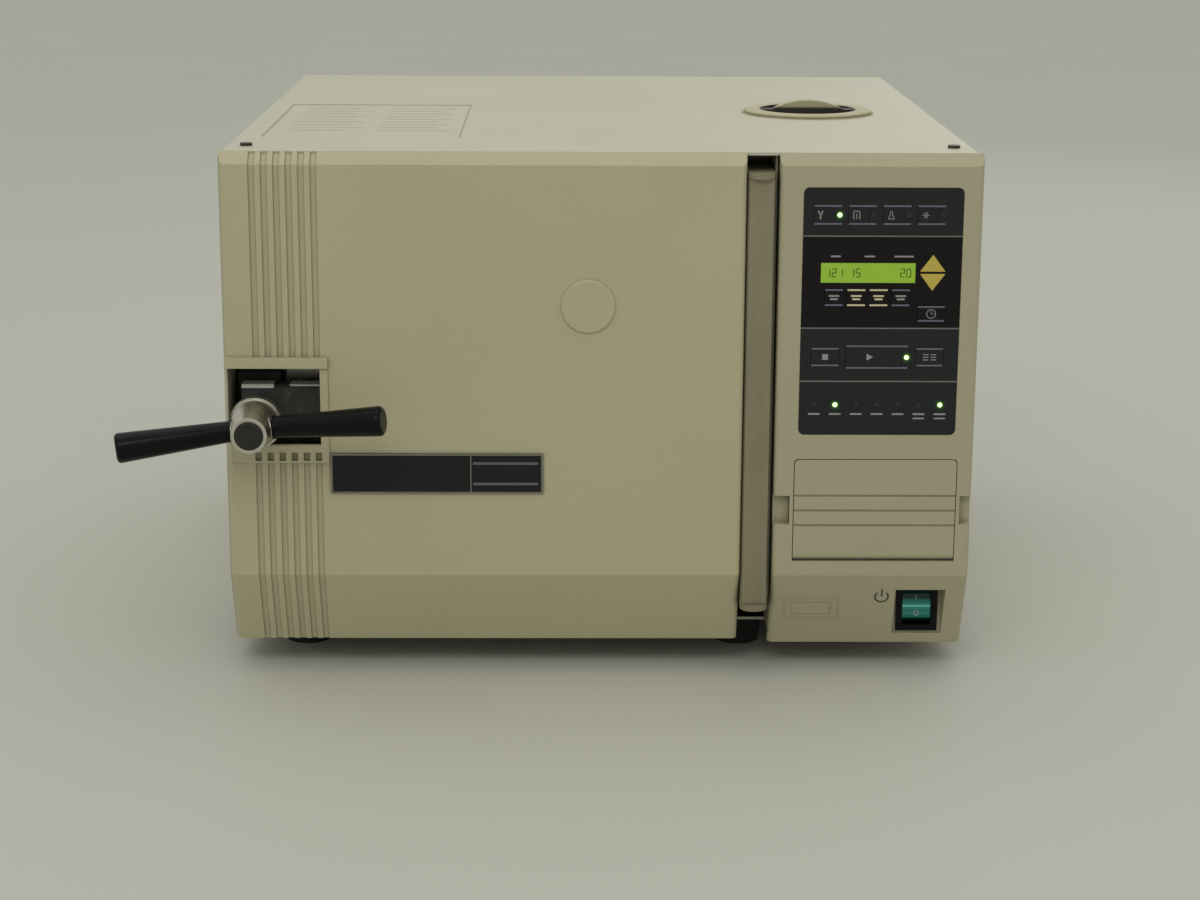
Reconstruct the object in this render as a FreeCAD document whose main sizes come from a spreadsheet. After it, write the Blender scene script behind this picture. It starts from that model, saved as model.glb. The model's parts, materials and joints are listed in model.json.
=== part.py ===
import FreeCAD, Part
import math
import operator
import os

import Sketcher
from FreeCAD import Placement, Rotation, Vector

# A benchtop steam autoclave.  It is drawn about the middle of its casing: X runs to the right
# across the front, Y runs back from the door's front face and Z runs up from the bench.
# Every finished sub-part is then moved so that the origin is the centre of the machine's base.

# Driving dimensions, in millimetres and degrees, grouped as they stand in the sheet.
DIMENSIONS = {
    "Casing": {
        "casing_w": 510, "casing_d": 545, "casing_h": 365, "clearance_under": 20.6,
        "sheet_metal": 2, "fold_r": 5, "seam_y": 8.7, "side_play": 0.5,
        "louvre_w": 34, "louvre_gap": 3, "louvre_pitch": 9, "louvre_y": 400, "louvre_z": 70,
        "label_left": -236, "label_right": -97, "label_front": 88, "label_back": 302,
        "label_depth": 0.4,
    },
    "Front shells": {
        "face_bevel": 8, "crease_z": 74, "slope_run": 23.6, "shell_d": 8.2, "shell_wall": 3,
        "door_left": -253.5, "door_right": 97, "panel_left": 119, "panel_drop": 3,
        "side_round": 4, "overcut": 1,
    },
    "Vessel": {
        "vessel_x": -79, "vessel_z": 190, "bore_r": 127, "vessel_wall": 2.5,
        "mouth_y": 60.5, "vessel_back": 490, "back_wall": 3, "back_round": 12,
        "flange_r": 143, "flange_t": 12, "jacket_t": 20, "jacket_front": 76, "jacket_back": 486,
        "jacket_gap": 0.5, "element_r": 4.25, "element_half": 34, "element_drop": 104,
        "element_front": 100, "element_end": 501, "element_hole": 4.6,
        "drain_r": 4, "drain_drop": 110,
        "rack_half": 88, "rack_low": 90, "rack_high": 78, "rack_front": 80, "rack_back": 470,
        "rack_sheet": 1.5, "ledge_w": 8, "ledge_first": 28, "ledge_pitch": 50, "rack_rod_r": 3,
        "rack_rod_inset": 12, "tray_play": 1, "tray_h": 18, "tray_sheet": 1, "tray_front": 84,
        "tray_back": 466, "slot_w": 38, "slot_d": 8, "slot_pitch_x": 50, "slot_pitch_y": 48,
        "rack_window": 30,
    },
    "Chassis": {
        "pan_half": 250, "pan_front": 36, "pan_back": 519, "pan_lip": 30,
        "saddle_t": 3, "saddle_front": 120, "saddle_back": 440, "saddle_half": 71, "saddle_h": 50,
        "divider_x": 84, "divider_front": 80, "divider_back": 500, "shelf_z": 97,
        "shelf_front": 125, "shelf_back": 425, "foot_r": 18, "foot_toe": 16, "foot_left": -210.5,
        "foot_right": 101.5, "foot_front": 90, "foot_back": 480,
        "bulkhead_y": 72.7, "cheek_x": 117.2, "cheek_t": 1.5, "cheek_front": 20,
        "rear_y": 521, "rear_half": 252.5, "frame_z": 23, "frame_top": 362.5,
    },
    "Water": {
        "tank_left": 96, "tank_right": 248, "tank_front": 130, "tank_back": 420, "tank_floor": 99,
        "tank_top": 345, "tank_wall": 3, "tank_round": 10, "filler_x": 160.5, "filler_y": 257,
        "neck_r": 43.2, "neck_wall": 1.8, "neck_play": 0.4, "collar_r": 50, "collar_t": 0.8,
        "cap_r": 48.5, "cap_base": 366.1, "cap_rim": 367.9, "cap_edge": 1, "cap_dish_r": 36.5,
        "cap_floor": 359, "cap_skirt_z": 352, "cap_grip": 6, "cap_grip_half": 27,
        "cap_grip_h": 6.9, "cap_wall": 2, "cap_skirt_r": 40.9,
    },
    "Plumbing": {
        "valve_x": -19, "valve_z": 262, "valve_r": 11, "valve_hex": 14, "valve_end": 527,
        "valve_seat": 493.2, "valve_bore": 3.05, "valve_spigot": 6, "stem_r": 3,
        "stem_start": 505, "ring_y": 537, "ring_r": 5, "ring_wire": 1, "valve_hole": 15,
        "manifold_left": 110, "manifold_right": 180, "manifold_front": 492,
        "manifold_back": 518, "manifold_z": 66, "manifold_h": 28, "coil_r": 12, "coil_h": 36,
        "coil_inset": 18, "bracket_t": 3, "pipe_r": 4, "pipe_bore": 3, "pipe_bend": 12,
        "drain_turn_y": 507, "fill_x": 165, "fill_turn_y": 452, "fill_z": 128,
    },
    "Electrics": {
        "board_t": 1.6, "power_left": 100, "power_right": 240, "power_front": 120,
        "power_back": 400, "power_z": 30, "standoff_r": 4, "standoff_inset": 8,
        "core_left": 110, "core_right": 172, "core_front": 325, "core_back": 390, "core_h": 48,
        "coil_over": 8, "relay_w": 20, "relay_d": 28, "relay_h": 18, "relay_pitch": 34,
        "relay_x": 190, "relay_y": 140, "capacitor_r": 9, "capacitor_h": 34, "capacitor_x": 128,
        "inlet_x": 215, "inlet_z": 72, "inlet_w": 27, "inlet_h": 20, "inlet_flange_w": 40,
        "inlet_flange_h": 27, "inlet_front": 503, "inlet_face": 526.5, "inlet_lip": 3,
        "socket_w": 23, "socket_h": 15, "socket_depth": 17, "blade_w": 2, "blade_h": 5,
        "blade_l": 13, "blade_pitch": 7,
    },
    "Control panel": {
        "overlay_left": 135, "overlay_right": 241.6, "overlay_low": 174.2, "overlay_high": 342.8,
        "overlay_round": 4, "overlay_front": 0.2, "overlay_t": 1, "overlay_play": 0.3,
        "key_play": 0.25, "key_front": 0, "key_seat": 3.1, "key_flange": 0.6,
        "key_flange_t": 1, "key_stem_r": 1.5, "key_stem_end": 8.8, "key_round": 1,
        "top_key_low": 319.5, "top_key_high": 329.8, "top_key_w": 13.7, "top_key_left": 141.9,
        "top_key_pitch": 23.1, "small_key_low": 262.8, "small_key_high": 274.8,
        "small_key_w": 12.6, "small_key_left": 150.3, "small_key_pitch": 15,
        "clock_left": 213.2, "clock_right": 231.6, "clock_low": 252.2, "clock_high": 263.4,
        "run_key_low": 221.4, "run_key_high": 234.6, "stop_left": 142.2, "stop_right": 161.3,
        "start_left": 165.8, "start_right": 203.4, "dry_left": 213.2, "dry_right": 231.7,
        "arrow_left": 214, "arrow_right": 231, "arrow_up_low": 286.6, "arrow_up_high": 298,
        "arrow_down_low": 273.6, "arrow_down_high": 285, "arrow_play": 0.6,
        "glass_left": 147.4, "glass_right": 211, "glass_low": 278.7, "glass_high": 292.3,
        "glass_front": 0.5, "module_margin": 1.2, "module_back": 8.8, "module_margin_z": 2,
        "led_r": 1.6, "led_play": 0.1, "led_front": 0.1, "led_back": 9.3, "led_top_x": 159.1,
        "led_top_z": 324.6, "led_start_x": 206.9, "led_start_z": 227.8, "led_row_x": 145.1,
        "led_row_pitch": 14.27, "led_row_z": 194.9,
        "board_left": 134, "board_right": 243, "board_low": 172, "board_high": 345,
        "board_y": 9.5, "boss_r": 3, "boss_inset": 3.6, "chip_w": 16, "chip_h": 10, "chip_t": 3,
        "chip_z": 215, "chip_pitch": 36,
    },
    "Bay and switch": {
        "neck_side": 2.5, "neck_back": 66, "neck_right": 252.3, "neck_low": 23.5,
        "neck_high": 361.5, "bay_left": 132.6, "bay_right": 244.4, "bay_low": 84.3,
        "bay_high": 156.9, "bay_wall": 2, "bay_back": 58, "flap_left": 133.1,
        "flap_right": 243.9, "flap_low": 84.8, "flap_high": 156.4, "flap_t": 2.5, "bead_r": 4.5,
        "peg_r": 1.5, "peg_hole_r": 1.55, "peg_l": 4, "flap_round": 3, "line_w": 1.2,
        "line_depth": 0.8, "line_low": 110, "line_pitch": 10.5,
        "notch_low": 110.5, "notch_high": 130.8, "notch_depth": 7,
        "recess_left": 206, "recess_right": 240.6, "recess_low": 25.6, "recess_high": 65,
        "recess_y": 23, "recess_wall": 3, "bezel_left": 208.7, "bezel_right": 237.8,
        "bezel_low": 27.2, "bezel_high": 61.4, "bezel_front": 21.8, "bezel_back": 48,
        "bezel_body": 2.1, "rocker_w": 19.5, "rocker_r": 12.6, "rocker_y": 34,
        "rocker_face": 8.9, "rocker_mid": 1.4, "rocker_flare": 4.6, "rocker_play": 0.25,
        "trunnion_r": 1.5, "trunnion_l": 1.7,
    },
    "Door": {
        "hinge_x": 107, "hinge_y": 6, "post_r": 9.4, "post_flat": 4.7, "post_low": 53,
        "post_high": 348, "post_web_left": 100, "post_web_right": 110, "post_web_low": 150,
        "post_web_high": 220, "pin_r": 4, "pin_play": 0.05, "pin_l": 16, "pin_depth": 13,
        "bracket_gap": 0.3, "hinge_plate_t": 4, "bracket_left": 97.8, "bracket_right": 116.4,
        "bridge_front": 18, "bridge_t": 16, "bridge_left": -245, "bridge_half": 19,
        "bridge_boss_r": 46, "bridge_edge": 2, "stud_r": 10, "stud_play": 0.2, "stud_in": 12,
        "lid_r": 139.5, "lid_front": 50, "lid_gap": 0.4, "lid_dish_r": 112, "lid_dish": 41,
        "lid_wall": 5, "lid_boss_r": 22, "gasket_in": 129.8, "gasket_out": 137.2,
        "gasket_depth": 5, "gasket_play": 0.2, "cover_boss_r": 7, "cover_boss_left": -150,
        "cover_boss_right": 22, "window_right": -189.5, "window_low": 166, "window_high": 219.5,
        "ledge_high": 227, "ledge_proud": 2.6, "frame_right": -184, "band_low": 153.5,
        "band_proud": 1, "band_slot_low": 155.2, "band_slot_high": 161, "band_slot_depth": 1.8,
        "groove_left": -234.3, "groove_w": 4.3, "groove_pitch": 8.2, "groove_depth": 1.3,
        "plug_x": -8.4, "plug_z": 262.3, "plug_r": 18.5, "plug_proud": 1.6, "plug_peg_r": 6,
        "plug_peg_l": 5, "plate_left": -183.4, "plate_right": -38.8, "plate_low": 132.4,
        "plate_high": 160.4, "plate_t": 1.4, "plate_rim": 1.3, "plate_sink": 0.4,
        "plate_break": -88, "plate_gap": 0.8,
    },
    "Closing screw": {
        "screw_x": -231.7, "screw_z": 185, "screw_r": 7, "screw_tip": 49.5, "screw_taper": 4,
        "screw_tip_r": 4.5, "screw_root": -26, "ring_out_r": 11, "ring_front": 34.3,
        "ring_back": 37.3, "bridge_bore": 7.3, "running_gap": 0.05, "collar_out_r": 12.5,
        "collar_back": 9.9, "hub_rear": -9.5, "hub_rim_r": 17.5, "hub_rim_t": 7,
        "hub_neck_r": 16.4, "hub_front": -53, "hub_front_r": 12, "hub_cap_r": 9.6,
        "hub_cap_depth": 2.5, "hub_cap_proud": 1.5, "hub_play": 0.02, "arm_y": -30, "arm_tilt": 6.2,
        "arm_sweep": 12, "arm_boss_r": 8, "arm_boss": 15.6, "grip_start": 15.7, "grip_reach": 91,
        "grip_inner_r": 7.1, "grip_outer_r": 10.1, "grip_round": 3,
        "keeper_left": -251, "keeper_right": -221.2, "keeper_front": 47.2, "keeper_half": 22,
        "keeper_bore": 7.4, "keeper_flare": 4, "keeper_flare_r": 9, "keeper_depth": 13,
        "keeper_relief": 0.6,
    },
    "Fasteners": {
        "screw_head_r": 4.2, "screw_head_t": 1.8, "shank_r": 2, "shank_l": 9, "shank_hole": 2.3,
        "top_screw_x": 239.4, "top_screw_front": 38,
        "side_screw_front": 60, "side_screw_back": 490, "side_screw_z": 62,
    },
}

OPERATORS = {"+": operator.add, "-": operator.sub, "*": operator.mul, "/": operator.truediv}
doc = FreeCAD.newDocument("autoclave")


class Size:
    """A number together with the sheet expression that it comes from."""

    def __init__(self, value, text):
        self.value = value
        self.text = text

    def __add__(self, other):
        return combine(self, "+", other)

    def __radd__(self, other):
        return combine(other, "+", self)

    def __sub__(self, other):
        return combine(self, "-", other)

    def __rsub__(self, other):
        return combine(other, "-", self)

    def __mul__(self, other):
        return combine(self, "*", other)

    def __rmul__(self, other):
        return combine(other, "*", self)

    def __truediv__(self, other):
        return combine(self, "/", other)

    def __neg__(self):
        return combine(0, "-", self)


def as_size(number):
    """A plain number as a Size."""
    return number if isinstance(number, Size) else Size(number, repr(number))


def combine(left, sign, right):
    """Join two sizes with an arithmetic sign, in number and in expression."""
    left, right = as_size(left), as_size(right)
    return Size(OPERATORS[sign](left.value, right.value), f"({left.text} {sign} {right.text})")


class Dimensions:
    """The sheet: every driving dimension is a cell with an alias, read here as a Size."""

    def __init__(self, groups):
        sheet = doc.addObject("Spreadsheet::Sheet", "dim")
        row = 0
        for title, cells in groups.items():
            row += 1
            sheet.set(f"A{row}", title)
            for alias, value in cells.items():
                row += 1
                sheet.set(f"A{row}", alias.replace("_", " "))
                sheet.set(f"B{row}", str(value))
                sheet.setAlias(f"B{row}", alias)
                setattr(self, alias, Size(value, f"dim.{alias}"))


d = Dimensions(DIMENSIONS)
doc.recompute()


# ---------------------------------------------------------------- outlines


class Arc:
    """Marks the next stretch of an outline as an arc of this radius."""

    def __init__(self, radius, left_turn=True):
        self.radius = as_size(radius)
        self.left_turn = left_turn


class Circle:
    """A whole circle as an outline."""

    def __init__(self, u, v, radius):
        self.centre = (as_size(u), as_size(v))
        self.radius = as_size(radius)


def rectangle(u0, u1, v0, v1):
    """The four corners of a rectangle, anticlockwise."""
    return [(u0, v0), (u1, v0), (u1, v1), (u0, v1)]


def rounded(u0, u1, v0, v1, r):
    """A rectangle with round corners, anticlockwise."""
    return [
        (u0 + r, v0), (u1 - r, v0), Arc(r), (u1, v0 + r), (u1, v1 - r), Arc(r),
        (u1 - r, v1), (u0 + r, v1), Arc(r), (u0, v1 - r), (u0, v0 + r), Arc(r),
    ]


def arc_curve(start, end, radius, left_turn):
    """The short arc from start to end that turns left, or right."""
    chord = end - start
    middle = (start + end) * 0.5
    rise = math.sqrt(max(radius**2 - chord.Length**2 / 4, 0))
    side = Vector(-chord.y, chord.x, 0).normalize() * rise
    centre = middle + side if left_turn else middle - side
    first, last = (start, end) if left_turn else (end, start)
    angles = [math.atan2(p.y - centre.y, p.x - centre.x) for p in (first, last)]
    return Part.ArcOfCircle(Part.Circle(centre, Vector(0, 0, 1), radius), *angles)


def fixed_point(curve, end, point):
    """Constraints, with their expressions, that fix one end of a curve at sheet coordinates."""
    pairs = zip(("DistanceX", "DistanceY"), map(as_size, point))
    return [(Sketcher.Constraint(kind, -1, 1, curve, end, size.value), size.text)
            for kind, size in pairs]


def fixed_radius(curve, radius):
    """The constraint, with its expression, that gives a circle or an arc its radius."""
    return [(Sketcher.Constraint("Radius", curve, radius.value), radius.text)]


def plan(outline, first_curve, closed):
    """The curves of one outline and its constraints, numbered from first_curve."""
    if isinstance(outline, Circle):
        centre = Vector(*(c.value for c in outline.centre), 0)
        curve = Part.Circle(centre, Vector(0, 0, 1), outline.radius.value)
        ties = fixed_point(first_curve, 3, outline.centre)
        return [curve], ties + fixed_radius(first_curve, outline.radius)
    corners, arcs = [], {}
    for item in outline:
        if isinstance(item, Arc):
            arcs[len(corners) - 1] = item
        else:
            corners.append(item)
    places = [Vector(as_size(u).value, as_size(v).value, 0) for u, v in corners]
    curves, ties, ends = [], [], []
    for index in range(len(corners) if closed else len(corners) - 1):
        start, end = places[index], places[(index + 1) % len(corners)]
        arc, number = arcs.get(index), first_curve + index
        if arc is None:
            curves.append(Part.LineSegment(start, end))
            first, last = 1, 2
        else:
            curves.append(arc_curve(start, end, arc.radius.value, arc.left_turn))
            first, last = (1, 2) if arc.left_turn else (2, 1)
            ties += fixed_radius(number, arc.radius)
        ties += fixed_point(number, first, corners[index])
        ends.append((number, first, last))
    follows = ends[1:] + ends[:1] if closed else ends[1:]
    for (number, _, last), (following, first, _) in zip(ends, follows):
        ties.append((Sketcher.Constraint("Coincident", number, last, following, first), None))
    if not closed:
        ties += fixed_point(ends[-1][0], ends[-1][2], corners[-1])
    return curves, ties


def draw(sketch, outlines, closed=True):
    """Draw outlines into a sketch, every corner and radius tied to the sheet."""
    curves, ties = [], []
    for outline in outlines:
        more_curves, more_ties = plan(outline, len(curves), closed)
        curves += more_curves
        ties += more_ties
    sketch.addGeometry(curves)
    sketch.addConstraint([constraint for constraint, _ in ties])
    for number, (_, text) in enumerate(ties):
        if text:
            sketch.setExpression(f"Constraints[{number}]", text)


# ---------------------------------------------------------------- bodies

# How a primitive's own Z axis is turned to lie along each row axis.
ALONG = {
    "X": Rotation(Vector(0, 1, 0), 90),
    "Y": Rotation(Vector(1, 0, 0), -90),
    "Z": Rotation(),
}


def place(obj, prop, base, rotation=Rotation()):
    """Set a placement property whose base is tied to the sheet."""
    setattr(obj, prop, Placement(Vector(), rotation))
    for axis, size in zip("xyz", base):
        obj.setExpression(f".{prop}.Base.{axis}", as_size(size).text)


class Piece:
    """One sub-part, made as a PartDesign body."""

    def __init__(self, name):
        self.body = doc.addObject("PartDesign::Body", name)
        self.body.Label = name

    def feature(self, kind, **sizes):
        """Add a feature and tie its sizes to the sheet."""
        made = self.body.newObject(f"PartDesign::{kind}", f"{self.body.Name}_{kind}")
        for prop, size in sizes.items():
            made.setExpression(prop, as_size(size).text)
        return made

    def sketch(self, plane, offset, outlines, closed=True):
        """A sketch on one of the body's own planes, moved by an offset in that plane's axes."""
        made = self.body.newObject("Sketcher::SketchObject", f"{self.body.Name}_sketch")
        planes = {feature.Role: feature for feature in self.body.Origin.OriginFeatures}
        made.AttachmentSupport = (planes[f"{plane}_Plane"], [""])
        made.MapMode = "FlatFace"
        place(made, "AttachmentOffset", offset)
        draw(made, outlines, closed)
        return made

    def prism(self, plane, outlines, start, end, cut=False):
        """Pad outlines from start to end along the plane's normal axis, or pocket them."""
        level = -end if plane == "XZ" else start
        profile = self.sketch(plane, (0, 0, level), outlines)
        made = self.feature("Pocket" if cut else "Pad", Length=end - start)
        made.Profile = profile
        made.Reversed = cut
        self.body.Tip = made
        return made

    def box(self, x, y, z, cut=False):
        """Add or cut a box given by its ranges along X, Y and Z."""
        sizes = {"Length": x[1] - x[0], "Width": y[1] - y[0], "Height": z[1] - z[0]}
        made = self.feature("SubtractiveBox" if cut else "AdditiveBox", **sizes)
        place(made, "Placement", (x[0], y[0], z[0]))
        return made

    def cylinder(self, axis, base, radius, length, cut=False):
        """Add or cut a cylinder that runs along an axis from its base point."""
        kind = "SubtractiveCylinder" if cut else "AdditiveCylinder"
        made = self.feature(kind, Radius=radius, Height=length)
        place(made, "Placement", base, ALONG[axis])
        return made

    def turn(self, axis, centre, outline, cut=False):
        """Revolve (radius, station) corners about an axis through the centre, or groove them."""
        plane, line = {"Y": ("XY", "V_Axis"), "Z": ("XZ", "V_Axis"), "X": ("XY", "H_Axis")}[axis]
        if axis == "X":
            outline = [item if isinstance(item, Arc) else (item[1], item[0]) for item in outline]
        x, y, z = centre
        offset = (x, z, -y) if plane == "XZ" else (x, y, z)
        profile = self.sketch(plane, offset, [outline])
        made = self.feature("Groove" if cut else "Revolution")
        made.Profile = profile
        made.ReferenceAxis = (profile, [line])
        made.Angle = 360
        self.body.Tip = made
        return made

    def pipe(self, plane, level, path, start_plane, start, radii):
        """Sweep a round section along a path drawn in a plane, from a section at its start."""
        spine = self.sketch(plane, level, [path], closed=False)
        rings = [Circle(0, 0, radius) for radius in radii]
        section = self.sketch(start_plane, start, rings)
        made = self.feature("AdditivePipe")
        made.Profile = section
        made.Spine = spine
        self.body.Tip = made
        return made

    def repeat(self, feature, axis, count, span):
        """Repeat a feature in a row along one of the body's axes."""
        axes = {item.Role: item for item in self.body.Origin.OriginFeatures}
        made = self.feature("LinearPattern", Length=span)
        made.Originals = [feature]
        made.Direction = (axes[f"{axis}_Axis"], [""])
        made.Occurrences = count
        self.body.Tip = made
        return made

    def soften(self, size, chosen, kind="Fillet"):
        """Fillet or chamfer the edges of the present shape that the test chooses."""
        doc.recompute()
        tip = self.body.Tip
        names = [f"Edge{n}" for n, edge in enumerate(tip.Shape.Edges, 1) if chosen(edge)]
        made = self.feature(kind, **{"Radius" if kind == "Fillet" else "Size": size})
        made.Base = (tip, names)
        self.body.Tip = made
        return made


def runs_along(edge, axis):
    """Whether an edge is a straight one that lies along an axis."""
    if edge.Curve.TypeId != "Part::GeomLine":
        return False
    direction = edge.tangentAt(edge.FirstParameter)
    return abs(getattr(direction, axis)) > 0.999


def near(value, size, tolerance=0.01):
    """Whether a number equals a size."""
    return abs(value - as_size(size).value) < tolerance


def middle_of(edge):
    """The middle of an edge's box."""
    return edge.BoundBox.Center


# ---------------------------------------------------------------- shared lines

half_w = d.casing_w / 2
top_z = d.casing_h
inner_half = half_w - d.sheet_metal
panel_right = half_w
panel_bottom = d.clearance_under - d.panel_drop
slope = d.slope_run / (d.crease_z - d.clearance_under)
bulkhead_back = d.bulkhead_y + d.sheet_metal
bridge_back = d.bridge_front + d.bridge_t
shell_r = d.bore_r + d.vessel_wall
jacket_in = shell_r + d.jacket_gap
jacket_out = jacket_in + d.jacket_t


def slope_y(z):
    """How far back the sloping lower face is at a height below the crease."""
    return (d.crease_z - z) * slope


def bevel_z(y, depth):
    """The height, at y, of a plane that lies a depth under a front shell's bevelled top edge."""
    return top_z - d.face_bevel - depth * math.sqrt(2) + y


def shell_section(bottom):
    """The side view of a front shell: bevelled top edge, flat face and sloping foot."""
    foot = slope_y(bottom)
    return [
        (d.shell_d, top_z), (d.face_bevel, top_z), (0, bevel_z(0, 0)),
        (0, d.crease_z), (foot, bottom), (foot + d.shell_d, bottom), (d.shell_d, d.crease_z),
    ]


def shell_hollow(bottom):
    """The side view of the space inside a front shell, open at its back."""
    floor = bottom + d.shell_wall
    foot = slope_y(floor)
    back = d.shell_d + d.overcut
    return [
        (back, bevel_z(back, d.shell_wall)), (d.shell_wall, bevel_z(d.shell_wall, d.shell_wall)),
        (d.shell_wall, d.crease_z),
        (foot + d.shell_wall, floor), (foot + back, floor), (back, d.crease_z),
    ]


def front_corner(edge, sides, bottom):
    """Whether an edge is one of a shell's upright front corners."""
    place_of = middle_of(edge)
    at_side = any(near(place_of.x, side) for side in sides)
    upright = near(place_of.y, 0) or near(place_of.y, slope_y(bottom) / 2)
    return at_side and upright and edge.Length > d.slope_run.value


# ---------------------------------------------------------------- shell and frame


def outer_casing():
    """Folded wrap over the top and both sides, open below, in front and behind."""
    piece = Piece("outer_casing")
    foot = d.seam_y + d.slope_run
    side = [
        (d.seam_y, top_z), (d.seam_y, d.crease_z), (foot, d.clearance_under),
        (d.casing_d, d.clearance_under), (d.casing_d, top_z),
    ]
    piece.prism("YZ", [side], -half_w, half_w)
    piece.soften(
        d.fold_r, lambda e: runs_along(e, "y") and near(middle_of(e).z, top_z)
    )
    piece.box((-inner_half, inner_half), (0 - d.overcut, d.casing_d + d.overcut),
              (0 - d.overcut, top_z - d.sheet_metal), cut=True)
    piece.cylinder("Z", (d.filler_x, d.filler_y, top_z - d.fold_r), d.neck_r + d.neck_wall,
                   d.fold_r + d.overcut, cut=True)
    piece.box((d.label_left, d.label_right), (d.label_front, d.label_back),
              (top_z - d.label_depth, top_z + d.overcut), cut=True)
    louvres = []
    for column in range(2):
        front = d.louvre_y + (d.louvre_w + d.louvre_pitch) * column
        louvres.append(rectangle(front, front + d.louvre_w, d.louvre_z,
                                 d.louvre_z + d.louvre_gap))
    row = piece.prism("YZ", louvres, -half_w - d.overcut, half_w + d.overcut, cut=True)
    piece.repeat(row, "Z", 6, d.louvre_pitch * 5)
    holes = [Circle(x, y, d.shank_hole) for x, y in top_screw_places()]
    piece.prism("XY", holes, top_z - d.fold_r, top_z + d.overcut, cut=True)
    sides = [Circle(y, d.side_screw_z, d.shank_hole) for y in side_screw_stations()]
    piece.prism("YZ", sides, -half_w - d.overcut, half_w + d.overcut, cut=True)
    return piece.body


def base_chassis():
    """Floor pan with turned-up lips, two vessel saddles, a divider and the tank's shelf."""
    piece = Piece("base_chassis")
    low = d.clearance_under
    floor = low + d.sheet_metal
    piece.box((-d.pan_half, d.pan_half), (d.pan_front, d.pan_back), (low, low + d.pan_lip))
    piece.box((-d.pan_half + d.sheet_metal, d.pan_half - d.sheet_metal),
              (d.pan_front + d.sheet_metal, d.pan_back - d.sheet_metal),
              (floor, floor + d.pan_lip), cut=True)
    piece.box((d.bracket_left - d.overcut, d.pan_half + d.overcut),
              (d.pan_front - d.overcut, d.neck_back + d.overcut),
              (low - d.overcut, low + d.pan_lip + d.overcut), cut=True)
    for front in (d.saddle_front, d.saddle_back):
        piece.box((d.vessel_x - d.saddle_half, d.vessel_x + d.saddle_half),
                  (front, front + d.saddle_t), (floor - d.sheet_metal / 2, floor + d.saddle_h))
    piece.cylinder("Y", (d.vessel_x, d.saddle_front - d.overcut, d.vessel_z),
                   jacket_out + d.jacket_gap, d.saddle_back - d.saddle_front + d.pan_lip, cut=True)
    piece.box((d.divider_x, d.divider_x + d.sheet_metal), (d.divider_front, d.divider_back),
              (floor - d.sheet_metal / 2, d.shelf_z + d.sheet_metal))
    piece.box((d.divider_x, d.pan_half), (d.shelf_front, d.shelf_back),
              (d.shelf_z, d.shelf_z + d.sheet_metal))
    piece.box((d.pan_half - d.sheet_metal, d.pan_half), (d.shelf_front, d.shelf_back),
              (floor, d.shelf_z + d.sheet_metal))
    slots = slot_row(d.saddle_front + d.slot_pitch_y, rectangle)
    row = piece.prism("XY", slots, low - d.overcut, floor + d.overcut, cut=True)
    piece.repeat(row, "Y", 5, d.slot_pitch_y * 4)
    return piece.body


def slot_row(front, shape, *details):
    """Three slots side by side under the vessel."""
    slots = []
    for column in (-1, 0, 1):
        left = d.vessel_x + column * d.slot_pitch_x - d.slot_w / 2
        slots.append(shape(left, left + d.slot_w, front, front + d.slot_d, *details))
    return slots


def rear_panel():
    """Back sheet, set into the casing, with its louvres and the cut-outs for the fittings."""
    piece = Piece("rear_panel")
    back = d.rear_y + d.sheet_metal
    piece.box((-d.rear_half, d.rear_half), (d.rear_y, back), (d.frame_z, d.frame_top))
    holes = [
        Circle(d.valve_x, d.valve_z, d.valve_hole),
        rectangle(d.inlet_x - d.inlet_w / 2 - d.side_play, d.inlet_x + d.inlet_w / 2 + d.side_play,
                  d.inlet_z - d.inlet_h / 2 - d.side_play,
                  d.inlet_z + d.inlet_h / 2 + d.side_play),
    ]
    piece.prism("XZ", holes, d.rear_y - d.overcut, back + d.overcut, cut=True)
    louvres = []
    for column in range(3):
        left = d.slot_pitch_x * column + d.divider_x
        louvres.append(rectangle(left, left + d.slot_w, d.valve_z - d.louvre_gap, d.valve_z))
    row = piece.prism("XZ", louvres, d.rear_y - d.overcut, back + d.overcut, cut=True)
    piece.repeat(row, "Z", 7, d.louvre_pitch * 6)
    return piece.body


def front_frame():
    """Bulkhead behind the door round the chamber's mouth, with the cheek on the hinge side."""
    piece = Piece("front_frame")
    cheek_right = d.cheek_x + d.cheek_t
    piece.box((-d.rear_half, cheek_right), (d.bulkhead_y, bulkhead_back),
              (d.frame_z + d.pan_lip, d.frame_top))
    piece.box((d.cheek_x, cheek_right), (d.cheek_front, bulkhead_back),
              (d.frame_z + d.pan_lip, d.frame_top))
    piece.cylinder("Y", (d.vessel_x, d.bulkhead_y - d.overcut, d.vessel_z),
                   shell_r + d.jacket_gap, d.sheet_metal + d.overcut * 2, cut=True)
    return piece.body


def foot_places():
    """Where the four feet stand."""
    return [(x, y) for x in (d.foot_left, d.foot_right) for y in (d.foot_front, d.foot_back)]


def feet():
    """Four tapered rubber feet under the pan."""
    group = []
    for x, y in foot_places():
        foot = doc.addObject("Part::Cone", "foot")
        foot.setExpression("Radius1", d.foot_toe.text)
        foot.setExpression("Radius2", d.foot_r.text)
        foot.setExpression("Height", d.clearance_under.text)
        place(foot, "Placement", (x, y, 0))
        group.append(foot)
    return compound("feet", group)


def compound(name, links):
    """Several like solids as one sub-part."""
    made = doc.addObject("Part::Compound", name)
    made.Label = name
    made.Links = links
    return made


def top_screw_places():
    """Where the wrap's screws go through its top."""
    return [(side * d.top_screw_x, d.top_screw_front) for side in (-1, 1)]


def side_screw_stations():
    """How far back the wrap's side screws are."""
    return [d.side_screw_front, d.side_screw_back]


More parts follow.
